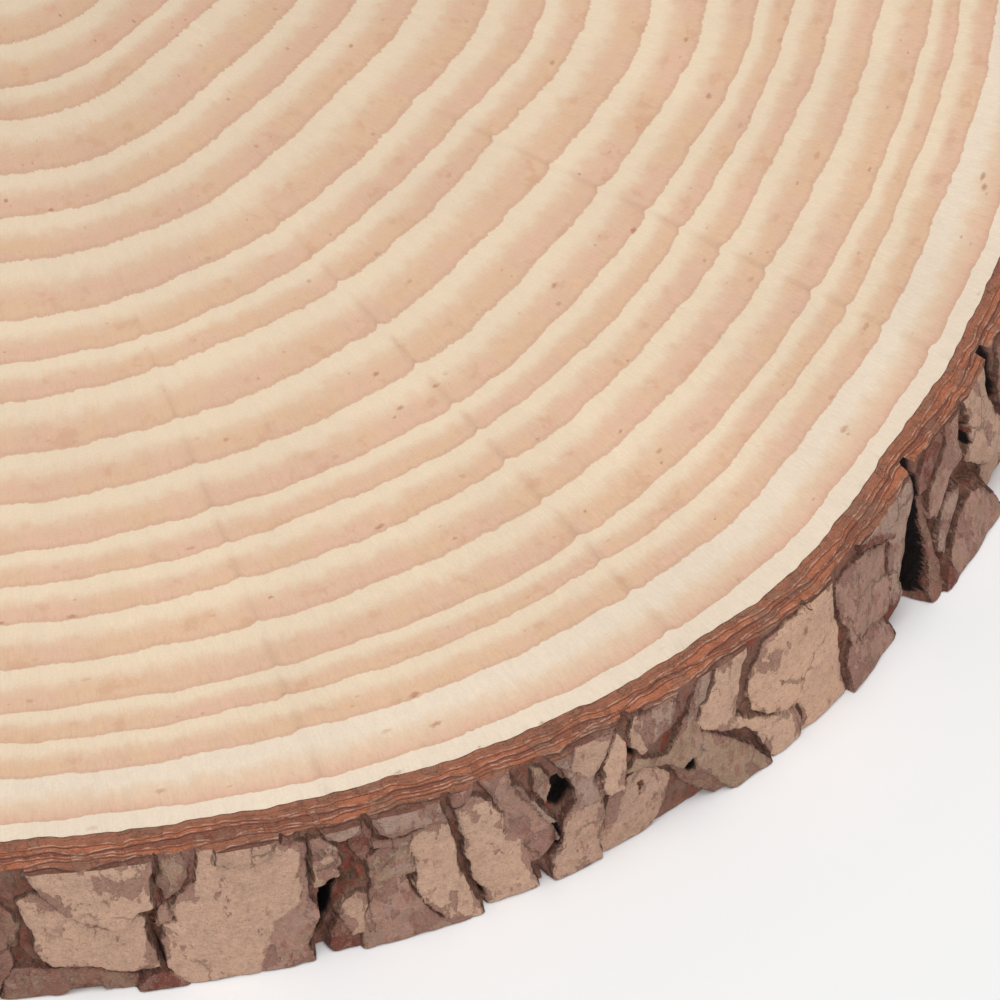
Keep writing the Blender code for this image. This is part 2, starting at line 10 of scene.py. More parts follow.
import bpy
import numpy as np
from bpy.props import FloatProperty, FloatVectorProperty, IntProperty, PointerProperty
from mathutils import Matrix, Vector


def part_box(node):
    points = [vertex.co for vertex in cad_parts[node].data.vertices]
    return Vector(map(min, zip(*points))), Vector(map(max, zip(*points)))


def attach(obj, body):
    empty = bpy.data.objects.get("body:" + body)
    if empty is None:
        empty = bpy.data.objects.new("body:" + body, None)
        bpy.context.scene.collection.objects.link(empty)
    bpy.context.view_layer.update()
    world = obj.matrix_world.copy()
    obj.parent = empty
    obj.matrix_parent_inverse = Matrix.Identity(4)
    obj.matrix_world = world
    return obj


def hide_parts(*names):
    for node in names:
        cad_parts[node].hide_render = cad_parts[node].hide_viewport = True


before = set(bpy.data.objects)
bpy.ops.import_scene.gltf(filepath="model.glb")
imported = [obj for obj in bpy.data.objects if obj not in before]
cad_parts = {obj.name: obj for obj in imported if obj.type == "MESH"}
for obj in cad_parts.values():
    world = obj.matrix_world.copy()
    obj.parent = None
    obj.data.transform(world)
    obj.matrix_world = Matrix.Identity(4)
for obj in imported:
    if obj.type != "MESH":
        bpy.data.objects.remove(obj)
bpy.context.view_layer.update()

bl_info = {
    "name": "Wood slice",
    "version": (1, 0, 0),
    "blender": (4, 5, 0),
    "location": "3D View > Sidebar > Wood slice",
    "description": "Builds a sawn slice of pine with its growth rings and its bark",
    "category": "Add Mesh",
}

MM = 0.001
THICKNESS = (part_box("wood")[1][2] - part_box("wood")[0][2]) / MM

# The trunk's outline under the bark
CAMBIUM_RADIUS = 117.45
TRUNK_LOBES = (
    (1, -18.0, 0.80),
    (2, -44.0, 0.70),
    (3, -49.0, 0.65),
    (4, 39.5, 0.60),
    (5, 21.0, 0.56),
    (7, 1.0, 0.50),
)
TRUNK_SWELLINGS = ((-45.5, 0.55, 4.0), (-37.5, -0.50, 4.0))

# Growth rings: mean radius of each ring's outer edge, from the pith to the last ring before the bark
RING_EDGES = (
    4.6, 10.6, 16.9, 22.9, 28.6, 32.7, 39.7, 45.1, 50.7, 57.7, 62.9, 67.3, 73.7, 79.5, 85.0, 88.9, 93.3,
    98.2, 103.2, 106.4, 110.2, 115.2,
)
# How rings of a given size leave the circle: size, then (azimuth, share of the radius, half width)
RING_SHAPES = (
    (12.0, ((-66.0, 0.012, 16.0), (-38.0, -0.012, 14.0), (60.0, -0.010, 30.0), (160.0, 0.015, 30.0))),
    (33.0, ((-66.0, 0.026, 14.0), (-41.0, -0.026, 13.0), (20.0, 0.020, 25.0), (105.0, -0.018, 26.0),
            (190.0, 0.022, 24.0), (245.0, -0.012, 20.0))),
    (67.0, ((-80.0, 0.009, 12.0), (-35.0, -0.015, 12.0), (-17.0, 0.022, 10.0), (40.0, -0.012, 22.0),
            (95.0, 0.016, 20.0), (150.0, -0.010, 18.0), (210.0, 0.014, 20.0))),
    (95.0, ((-52.0, 0.012, 12.0), (-24.0, -0.010, 9.0), (15.0, 0.012, 18.0), (80.0, 0.010, 20.0),
            (135.0, -0.010, 16.0), (200.0, 0.008, 18.0), (250.0, -0.008, 14.0))),
)
# Narrow radial folds where every outer ring dips towards the pith: azimuth, dip in mm, half width
RING_FOLDS = ((-52.0, 0.4, 0.32), (-31.5, 0.4, 0.3), (-69.4, 0.25, 0.3), (12.0, 0.4, 0.35), (71.0, 0.4, 0.35),
              (118.0, 0.3, 0.3), (166.0, 0.4, 0.35), (214.0, 0.35, 0.3), (251.0, 0.3, 0.35))
FOLDS_BEGIN = (45.0, 75.0)
# How wide the colour of a fold is, as a share of the fold
FOLD_COLOUR_WIDTH = 0.8
# Fine waves on every ring: seed, size in mm, cycles, the radius from which they have their full size, and
# the number of cycles past which they weaken
RING_SEED = 3
WAVER_SIZE = 0.13
WAVER_CYCLES = (9, 23, 57, 121)
WAVER_FULL_AT = 60.0
WAVER_WEAKENS_AT = 30.0

# Bark relief: rises and depths in mm, steepness in mm of rise for each mm along the bark
BARK_RADIUS = 124.5
FURROW_FOOT = 4.4
FURROW_HEAD = 2.5
EDGE_STEEPNESS = 4.5
EDGE_ROUND_DEPTH = 0.3
EDGE_ROUND_WIDTH = 0.6
HOLLOW_STEEPNESS = 8.0
DEEPEST_FLOOR = 0.6
LEAST_RISE = 0.6
# Waves that make outlines ragged: cycles round the trunk, turns for each mm of height, size in mm. Heights
# are shifted by the same waves, turned by some degrees.
RAGGED_WAVES = ((131, 0.11, 0.17), (217, -0.17, 0.12), (349, 0.31, 0.07), (523, -0.45, 0.04))
RAGGED_TURN = 77.0
# Noise over the bark: size, width of a cell in mm, seed, octaves, and how tall a cell is where not square
FLOOR_CLOUD = (0.3, 4.5, 11, 3, 1.5)
SIDEWAYS_CLOUD = (0.09, 1.6, 21, 2)
UPWARD_CLOUD = (0.09, 1.6, 31, 2)
STEEPNESS_CLOUD = (0.45, 6.0, 41, 1)
SKIN_CLOUDS = ((0.12, 6.0, 61, 2), (0.05, 1.5, 71, 2))
LINE_CLOUD = (0.07, 2.4, 81, 2)
# A plate or hollow is worked out for the points this many degrees round it
OUTLINE_REACH = 2.0
# Edge value of a point far from every plate, and the highest one inside a hollow
OFF_PLATES = -3.0
IN_HOLLOW = -0.25
# A hollow's painted shade: the depth in mm where it begins and is full, and the least depth it is a share of
CUT_SHOWS = (0.8, 2.4)
LEAST_CUT = 0.5
# Painted shade round a deep hollow, where it begins and is full: mm from its outline, mm below a common plate
SHADE_REACH = (-1.2, -0.4)
SHADE_DEPTH = (0.5, 1.4)
# How far under a plate's edge its shadow reaches, and the drop in mm where it begins and is full
OVERHANG_REACH = 0.3
OVERHANG_DROP = (0.2, 0.5)

# Bark plates on the near side, from left to right: tint, rise at the underside, rise at the top, outline.
# A plate that lies over another starts higher than it.
NEAR_PLATES = (
    ("umber", 5.9, 3.2, ((-92.0, -0.5), (-85.2, -0.5), (-84.3, 4.6), (-84.1, 9.5), (-84.6, 14.0),
        (-84.6, 19.5), (-92.0, 19.5))),
    ("umber", 5.5, 3.0, ((-85.2, 5.5), (-84.5, 6.8), (-83.8, 8.0), (-83.6, 10.5), (-84.1, 13.0),
        (-84.9, 14.5))),
    ("umber", 5.8, 2.6, ((-85.0, -0.5), (-84.4, 4.2), (-82.6, 4.0), (-81.4, 3.6), (-79.8, 2.6),
        (-78.8, 2.0), (-78.6, -0.5))),
    ("tan", 6.0, 2.8, ((-83.7, 14.4), (-83.0, 15.6), (-82.0, 15.0), (-79.0, 13.0), (-78.25, 10.0),
        (-78.05, 6.0), (-77.95, 2.4), (-79.2, 2.5), (-80.8, 3.5), (-82.3, 4.2), (-82.9, 5.6),
        (-83.1, 8.0), (-83.4, 11.0))),
    ("tan", 6.9, 3.4, ((-83.0, 19.5), (-83.0, 17.6), (-82.2, 14.6), (-81.4, 12.0), (-80.7, 10.4),
        (-79.8, 9.7), (-79.0, 10.0), (-78.5, 11.3), (-77.8, 12.2), (-77.75, 14.8), (-77.6, 19.5))),
    ("olive", 5.8, 2.8, ((-77.45, 19.5), (-77.45, 14.6), (-77.2, 12.6), (-76.5, 13.2), (-76.2, 15.0),
        (-76.1, 19.5))),
    ("russet", 5.5, 2.6, ((-76.1, 19.5), (-76.2, 15.0), (-76.0, 13.6), (-75.7, 15.2), (-75.6, 19.5))),
    ("mauve", 5.8, 2.9, ((-78.0, 8.6), (-77.7, 11.6), (-77.1, 12.0), (-76.9, 10.4), (-77.1, 8.8),
        (-77.6, 8.2))),
    ("russet", 6.5, 2.8, ((-79.2, -0.5), (-78.6, 1.8), (-77.9, 2.2), (-77.3, 1.4), (-76.7, -0.5))),
    ("mauve", 6.2, 2.6, ((-73.6, -0.5), (-73.4, 8.0), (-71.4, 9.4), (-70.9, 8.6), (-70.75, 6.0),
        (-71.15, 2.6), (-71.3, -0.5))),
    ("mauve", 5.6, 3.0, ((-71.6, 8.6), (-71.6, 17.5), (-71.0, 17.5), (-71.0, 8.6))),
    ("tan", 6.3, 2.9, ((-75.6, 19.5), (-75.6, 16.6), (-75.9, 14.4), (-76.6, 12.8), (-77.0, 11.2),
        (-76.9, 9.4), (-77.5, 8.6), (-77.65, 5.0), (-77.6, 2.4), (-77.1, 0.4), (-76.7, -0.5),
        (-73.5, -0.5), (-73.2, 4.0), (-72.6, 7.0), (-71.6, 8.8), (-71.3, 12.0), (-71.2, 17.0),
        (-72.0, 17.4), (-72.2, 19.5))),
    ("buff", 7.0, 3.5, ((-74.9, 19.5), (-74.9, 17.0), (-74.3, 16.2), (-73.2, 16.0), (-72.4, 17.0),
        (-72.2, 19.5))),
    ("russet", 5.6, 2.9, ((-72.0, 19.5), (-72.0, 17.0), (-71.5, 16.6), (-71.2, 19.5))),
    ("buff", 6.2, 3.3, ((-70.85, 18.4), (-70.85, 11.0), (-70.6, 10.7), (-69.9, 10.8), (-69.4, 13.4),
        (-69.7, 16.4), (-70.2, 18.2))),
    ("ash", 6.6, 3.6, ((-70.3, 19.5), (-69.9, 17.7), (-69.3, 16.9), (-68.6, 17.2), (-68.5, 19.5))),
    ("buff", 6.1, 3.4, ((-70.0, 6.2), (-69.5, 7.8), (-69.0, 8.3), (-68.7, 7.6), (-68.7, 4.6),
        (-69.0, 2.0), (-69.5, 1.8), (-69.9, 4.4))),
    ("russet", 5.7, 2.6, ((-70.5, 0.8), (-70.4, 3.2), (-70.1, 4.6), (-69.2, 3.0), (-69.2, -0.5),
        (-70.2, -0.5))),
    ("mauve", 6.2, 2.8, ((-69.4, -0.5), (-68.7, 4.6), (-68.6, 8.4), (-68.2, 9.4), (-66.9, 9.2),
        (-66.3, 5.0), (-65.6, 1.6), (-64.2, 0.8), (-64.0, -0.5))),
    ("russet", 5.4, 2.8, ((-69.1, 18.0), (-69.0, 14.0), (-68.6, 12.4), (-68.2, 12.6), (-68.1, 15.4),
        (-68.3, 18.0))),
    ("olive", 6.0, 3.0, ((-68.5, 8.6), (-68.3, 13.2), (-67.6, 13.8), (-66.4, 13.6), (-66.4, 9.0))),
    ("tan", 6.3, 3.2, ((-66.4, 15.4), (-66.5, 9.2), (-66.3, 5.0), (-65.4, 1.4), (-63.7, -0.5),
        (-64.15, 5.0), (-64.55, 10.0), (-64.8, 15.4))),
    ("ash", 6.3, 3.4, ((-68.3, 15.3), (-68.2, 14.2), (-67.6, 14.0), (-66.5, 13.8), (-66.4, 15.6),
        (-67.2, 15.2))),
    ("ash", 6.9, 3.5, ((-68.0, 19.5), (-67.9, 16.8), (-67.2, 15.5), (-66.4, 16.0), (-65.7, 15.8),
        (-64.9, 15.2), (-64.85, 19.5))),
    ("mauve", 6.3, 3.3, ((-64.5, 19.5), (-64.5, 17.0), (-63.6, 17.0), (-63.5, 19.5))),
    ("tan", 5.5, 3.4, ((-64.4, 16.6), (-63.5, 17.2), (-62.9, 16.0), (-62.4, 13.0), (-62.2, 10.6),
        (-61.4, 9.0), (-61.3, 6.6), (-61.2, 3.0), (-61.1, -0.5), (-63.4, -0.5), (-63.8, 5.0),
        (-64.2, 10.0))),
    ("mauve", 5.8, 3.0, ((-63.3, 19.5), (-63.0, 17.0), (-62.4, 13.0), (-62.2, 10.2), (-61.4, 8.6),
        (-61.3, 5.0), (-60.7, 4.6), (-60.1, 6.0), (-59.9, 8.6), (-60.5, 12.0), (-61.4, 16.0),
        (-61.8, 19.5))),
    ("ash", 6.4, 3.5, ((-61.8, 17.6), (-61.0, 13.6), (-60.4, 10.0), (-60.2, 6.6), (-59.85, 6.8),
        (-59.85, 9.4), (-60.6, 12.8), (-61.4, 17.0))),
    ("olive", 5.9, 3.0, ((-61.0, 18.4), (-60.7, 14.6), (-60.2, 11.8), (-60.0, 13.0), (-60.1, 15.6),
        (-60.5, 18.0))),
    ("ash", 6.2, 3.1, ((-59.9, 19.5), (-59.7, 17.8), (-59.35, 15.0), (-59.1, 12.6), (-59.0, 11.0),
        (-59.3, 9.6), (-57.7, 9.4), (-57.9, 11.0), (-57.8, 13.6), (-57.0, 16.6), (-56.5, 19.5))),
    ("buff", 5.6, 3.1, ((-59.3, 9.8), (-59.7, 7.0), (-60.3, 3.4), (-60.3, -0.5), (-58.0, -0.5),
        (-57.8, 4.0), (-57.6, 9.6))),
    ("ash", 6.8, 3.7, ((-59.9, 19.5), (-59.7, 17.6), (-59.2, 16.8), (-58.9, 18.6), (-58.9, 19.5))),
    ("buff", 6.8, 3.5, ((-59.0, 19.0), (-59.0, 16.0), (-58.4, 14.2), (-57.7, 14.6), (-57.2, 16.8),
        (-56.9, 19.0))),
    ("tan", 6.5, 3.4, ((-56.7, 18.6), (-57.4, 15.0), (-57.7, 11.6), (-57.4, 9.6), (-56.7, 9.8),
        (-56.5, 12.6), (-56.4, 16.4))),
    ("mauve", 5.8, 2.9, ((-58.1, 13.4), (-58.0, 10.0), (-57.6, 9.2), (-57.3, 10.0), (-57.5, 12.8))),
    ("buff", 5.0, 2.9, ((-58.0, -0.5), (-57.8, 4.0), (-57.4, 8.4), (-56.6, 9.6), (-55.6, 9.8),
        (-54.8, 8.8), (-54.2, 6.6), (-54.4, 2.6), (-55.2, -0.5))),
    ("olive", 6.2, 2.7, ((-56.6, 11.0), (-56.0, 12.4), (-55.0, 11.2), (-54.2, 10.6), (-53.4, 14.2),
        (-52.6, 14.2), (-52.5, 10.6), (-51.0, 7.6), (-50.0, 4.6), (-48.9, -0.5), (-51.2, -0.5),
        (-52.4, 4.6), (-54.4, 9.0), (-55.6, 10.0))),
    ("buff", 6.0, 3.0, ((-56.0, 18.6), (-56.1, 14.8), (-55.7, 12.6), (-55.1, 13.0), (-55.2, 18.6))),
    ("ash", 6.2, 3.2, ((-55.4, 19.5), (-55.4, 15.0), (-55.0, 13.6), (-54.2, 14.2), (-53.7, 16.6),
        (-53.5, 19.5))),
    ("umber", 5.4, 3.2, ((-54.4, 9.2), (-53.2, 10.2), (-52.4, 8.0), (-51.8, 5.0), (-51.2, 2.0),
        (-50.9, -0.5), (-52.0, -0.5), (-52.8, 1.6), (-53.6, 4.0))),
    ("ash", 5.8, 3.0, ((-52.9, 17.0), (-52.5, 19.5), (-51.5, 19.5), (-52.0, 16.4), (-52.3, 14.8),
        (-52.9, 12.6), (-53.1, 14.4))),
    ("tan", 5.7, 3.2, ((-51.4, 19.5), (-51.9, 16.4), (-52.3, 14.8), (-52.7, 12.6), (-52.4, 10.6),
        (-51.2, 8.6), (-50.0, 7.0), (-49.4, 4.0), (-48.8, -0.5), (-47.2, -0.5), (-47.2, 4.8),
        (-48.6, 5.6), (-49.9, 7.8), (-50.6, 9.6), (-50.6, 11.6), (-50.2, 15.0), (-49.7, 19.5))),
    ("rose", 5.4, 3.3, ((-49.0, 18.2), (-47.6, 18.5), (-46.6, 18.7), (-46.4, 19.5), (-44.8, 19.5),
        (-44.7, 15.0), (-44.5, 9.0), (-44.3, 5.0), (-44.2, -0.5), (-47.1, -0.5), (-47.0, 4.8),
        (-48.2, 5.2), (-49.2, 6.8), (-49.9, 8.8), (-50.0, 11.2), (-49.6, 15.0))),
    ("mauve", 5.9, 2.9, ((-44.5, 17.0), (-43.4, 17.4), (-42.0, 17.0), (-40.6, 14.2), (-40.4, 8.0),
        (-40.5, 3.6), (-42.0, 5.2), (-43.6, 5.8), (-44.3, 12.0))),
    ("mauve", 6.3, 2.8, ((-44.1, -0.5), (-44.0, 6.0), (-42.0, 5.4), (-41.0, 4.0), (-40.3, 0.4),
        (-40.0, -0.5))),
    ("ash", 6.2, 3.1, ((-43.0, 19.5), (-42.2, 18.4), (-41.0, 16.0), (-40.4, 13.6), (-40.5, 4.0),
        (-39.5, 4.2), (-39.3, 8.6), (-39.1, 11.4), (-38.8, 13.4), (-38.2, 15.2), (-38.1, 19.5))),
    ("russet", 6.8, 3.3, ((-42.7, 18.6), (-41.6, 16.8), (-40.0, 13.8), (-39.9, 14.4), (-41.3, 17.4),
        (-42.3, 18.9))),
    ("umber", 7.6, 1.8, ((-38.15, -0.5), (-37.8, 8.0), (-37.8, 14.6), (-37.2, 13.4), (-37.0, 7.0),
        (-37.1, -0.5))),
    ("russet", 6.8, 3.0, ((-37.7, 14.2), (-37.4, 16.8), (-36.4, 19.5), (-35.4, 19.5), (-35.1, 17.6),
        (-36.0, 15.4), (-36.9, 13.8))),
    ("mauve", 7.5, 3.2, ((-37.2, 13.4), (-36.2, 14.6), (-35.4, 16.0), (-35.0, 18.0), (-34.9, 19.5),
        (-34.0, 19.5), (-34.2, 12.0), (-35.2, 12.4), (-36.8, 9.4), (-37.2, 10.6))),
    ("ash", 7.6, 3.0, ((-37.0, 5.2), (-36.4, 8.6), (-35.5, 10.6), (-34.6, 9.8), (-34.8, 8.2),
        (-36.0, 6.2), (-36.6, 4.0))),
    ("mauve", 8.1, 2.8, ((-36.6, -0.5), (-36.3, 3.4), (-35.2, 6.2), (-34.0, 7.8), (-33.2, 6.4),
        (-32.2, 3.0), (-31.5, -0.5))),
    ("russet", 8.2, 3.0, ((-37.1, -0.5), (-37.0, 2.6), (-36.5, 2.4), (-36.2, -0.5))),
    ("buff", 7.6, 3.1, ((-33.5, 19.5), (-33.1, 14.0), (-33.4, 12.4), (-34.0, 11.2), (-32.6, 7.6),
        (-31.4, 6.8), (-30.2, 5.0), (-30.0, 8.6), (-30.9, 12.0), (-31.2, 16.4), (-31.2, 19.5))),
    ("buff", 5.5, 3.2, ((-32.0, -0.5), (-32.0, 4.0), (-31.4, 6.2), (-30.2, 4.6), (-29.0, 3.0),
        (-28.6, -0.5))),
    ("umber", 6.6, 3.4, ((-30.0, 9.0), (-28.8, 8.0), (-28.4, 19.5), (-29.8, 19.5), (-30.2, 14.0))),
)
# Cracks and holes on the near side: rise of the floor, outline
NEAR_HOLLOWS = (
    (3.0, ((-77.95, 8.8), (-77.9, 5.5), (-77.8, 2.6), (-77.7, 2.6), (-77.8, 5.5), (-77.8, 8.8))),
    (2.3, ((-77.6, 19.5), (-77.5, 17.6), (-77.4, 16.4), (-77.65, 14.8), (-77.5, 14.8), (-77.25, 16.4),
        (-77.4, 17.6), (-77.5, 19.5))),
    (3.2, ((-78.2, 9.2), (-78.1, 11.4), (-77.8, 12.0), (-77.8, 9.2))),
    (0.9, ((-70.1, 10.8), (-70.5, 8.0), (-70.8, 5.0), (-71.1, 2.2), (-70.9, 2.2), (-70.4, 5.0),
        (-70.1, 8.0), (-69.85, 10.8))),
    (1.8, ((-69.5, 17.0), (-69.35, 16.0), (-69.3, 15.0), (-69.15, 15.6), (-69.2, 17.0))),
    (2.6, ((-69.7, 8.6), (-69.7, 12.6), (-69.2, 13.4), (-68.95, 12.6), (-68.95, 9.0))),
    (3.6, ((-64.7, 15.6), (-64.4, 10.0), (-64.0, 5.0), (-63.6, 1.4), (-63.5, 1.4), (-63.9, 5.0),
        (-64.3, 10.0), (-64.6, 15.6))),
    (1.6, ((-60.0, 15.0), (-60.0, 13.4), (-59.9, 11.4), (-59.6, 10.4), (-59.3, 10.6), (-59.15, 11.8),
        (-59.3, 13.4), (-59.65, 15.0))),
    (3.8, ((-61.2, 3.6), (-60.8, 3.2), (-60.5, -0.5), (-60.7, -0.5))),
    (5.2, ((-82.2, -0.5), (-81.6, 1.0), (-80.8, 1.1), (-80.2, -0.5))),
    (2.8, ((-60.2, 9.6), (-59.9, 7.0), (-60.1, 5.0), (-60.0, 5.0), (-59.8, 7.2), (-60.1, 9.6))),
    (1.9, ((-56.3, 19.5), (-56.35, 18.2), (-56.25, 17.4), (-56.1, 18.4), (-55.95, 19.5))),
    (1.4, ((-56.3, 14.4), (-56.25, 13.2), (-56.0, 12.8), (-56.1, 14.0))),
    (2.6, ((-53.4, 7.4), (-53.2, 6.2), (-53.0, 6.8), (-53.1, 7.8))),
    (3.4, ((-55.8, 8.2), (-55.7, 6.8), (-55.55, 7.0), (-55.65, 8.2))),
    (2.3, ((-46.65, 19.5), (-46.5, 18.0), (-46.35, 18.0), (-46.3, 19.5))),
    (0.6, ((-37.9, 17.0), (-37.95, 15.6), (-38.5, 14.0), (-38.9, 11.0), (-39.3, 8.0), (-39.5, 4.6),
        (-39.2, 2.4), (-38.4, 1.6), (-37.9, 8.0), (-37.8, 15.0), (-37.7, 17.0))),
    (1.2, ((-37.95, 19.5), (-37.95, 16.5), (-37.7, 16.5), (-37.5, 19.5))),
    (2.3, ((-33.85, 18.4), (-33.3, 15.0), (-33.25, 12.6), (-33.15, 12.6), (-33.2, 15.0), (-33.7, 18.4))),
    (1.4, ((-30.9, 19.5), (-30.85, 15.0), (-30.55, 12.0), (-30.3, 12.0), (-30.3, 16.0), (-30.1, 19.5))),
)

# Bark plates on the far side, which repeat the near side's sizes by a rule
NEAR_SPAN = (-88.0, -29.0)
FAR_SEED = 41
TINT_SEED = 7
FAR_COLUMNS = 53
COLUMN_UNEVENNESS = 0.28
FURROW_WIDTHS = (0.35, 0.8)
DEEP_FURROW_EVERY = 7
DEEP_FURROW_WIDTH = 1.5
DEEP_FURROW_RISE = 0.9
DEEP_FURROW_FEET = (-1.0, 6.0)
DEEP_FURROW_HEADS = (13.0, 20.0)
HOLLOW_SHARE = 0.3
FURROW_LEAN = 0.9
FURROW_KINK = 0.45
KINK_HEIGHTS = (0.0, 4.5, 9.5, 14.5, 19.0)
JOINT_HEIGHTS = ((), (10.0,), (6.5, 13.5))
JOINT_CHANCES = (0.3, 0.45, 0.25)
JOINT_SHIFT = 2.5
JOINT_SLOPE = 1.6
JOINT_GAP = 0.5
PLATE_FEET = (5.4, 6.8)
PLATE_HEADS = (2.7, 3.6)
FLAKE_CHANCE = 0.6
FLAKE_RISE = 0.75
FLAKE_BOTTOMS = (7.0, 14.0)
FLAKE_INSETS = (0.1, 1.0)
FLAKE_TIPS = (0.35, 0.65)
TINT_CHANCES = {
    "tan": 0.26, "rose": 0.12, "buff": 0.2, "olive": 0.12, "ash": 0.1, "mauve": 0.12, "umber": 0.08,
}

BARK_TINTS = {
    "tan": (200, 162, 138),
    "rose": (206, 165, 139),
    "buff": (188, 151, 129),
    "olive": (166, 135, 113),
    "ash": (168, 137, 121),
    "mauve": (169, 130, 114),
    "umber": (138, 101, 84),
    "russet": (118, 66, 54),
}
# How weathered the plates of each tint are: a fresh plate is evenly coloured, a worn one is patchy
PLATE_WEAR = {
    "tan": 0.12, "rose": 0.08, "buff": 0.4, "olive": 0.9, "ash": 0.75, "mauve": 0.8, "umber": 1.0,
    "russet": 0.5,
}
# Rise of a common plate at the underside and at the top, which a furrow's depth is counted from
COMMON_RISE = (6.0, 3.2)
# Layers of the bark on its sawn rim: depth from the cambium, outward turn of their ends, length in degrees
SCALE_LINES = ((0.9, 0.30, 6.0), (1.45, 0.5, 7.0), (1.95, 0.6, 8.5), (2.5, 0.7, 7.5), (3.0, 0.7, 8.0))
# Seed of the layers, how unevenly they are spaced, how far their depths vary and how close they come in mm
LINE_SEED = 17
LINE_UNEVENNESS = 0.42
LINE_DEPTHS = (-0.22, 0.22)
LINE_SPACING = 0.05

# The visible line between wood and bark lies a little inside the trunk's outline and wavers: cycles, size
BARK_INSET = 0.45
INSET_WAVES = ((47, 0.07), (89, 0.06), (163, 0.05), (281, 0.035), (433, 0.025))

# The bark is made in arcs that meet at shared columns of points: name, first azimuth, last azimuth
BARK_ARCS = (("bark_near", -92.0, -26.0), ("bark_right", -26.0, 121.0), ("bark_left", 121.0, 268.0))
SAWN_EDGE = 0.04
# Rows of points across a sawn rim, as shares of its width from the wood
RIM_ROWS = (0.985, 0.66, 0.33, 0.015, 0.0)
SHARP_ANGLE = math.radians(40.0)

# Stage, in metres. Lights: name, place, aim, side.
FLOOR_HEIGHT = -0.0002
LIGHTS = (
    ("overhead", (-0.05, -0.2, 1.2), (0.0, 0.0, 0.0), 0.6),
    ("front", (0.85, -1.1, 0.6), (0.05, -0.08, 0.0), 0.8),
)
SENSOR_WIDTH = 36.0
NEAREST_SEEN = 0.01


def srgb(red, green, blue):
    """A colour given as screen values from 0 to 255, in the linear light that shaders work in."""
    shares = np.array([red, green, blue]) / 255.0
    linear = np.where(shares <= 0.04045, shares / 12.92, ((shares + 0.055) / 1.055) ** 2.4)
    return tuple(float(share) for share in linear)


class Channel:
    """One output in a material's node tree. Arithmetic on it adds Math nodes."""

    def __init__(self, finish, socket):
        self.finish = finish
        self.socket = socket

    def math(self, operation, *others):
        """A Math node with this channel first."""
        return self.finish.node("ShaderNodeMath", {"operation": operation}, dict(enumerate((self, *others))))

    def swing(self, size):
        """Noise centred on nothing, so that it adds as often as it takes away, and given a size."""
        return (self - 0.5) * size

    def strongest(self, *others):
        """The greatest of this channel and the others."""
        greatest = self
        for other in others:
            greatest = greatest.math("MAXIMUM", other)
        return greatest

    def __add__(self, other):
        return self.math("ADD", other)

    __radd__ = __add__

    def __mul__(self, other):
        return self.math("MULTIPLY", other)

    __rmul__ = __mul__

    def __sub__(self, other):
        return self.math("SUBTRACT", other)

    def __rsub__(self, other):
        return self.finish.node("ShaderNodeMath", {"operation": "SUBTRACT"}, {0: other, 1: self})

    def __truediv__(self, other):
        return self.math("DIVIDE", other)


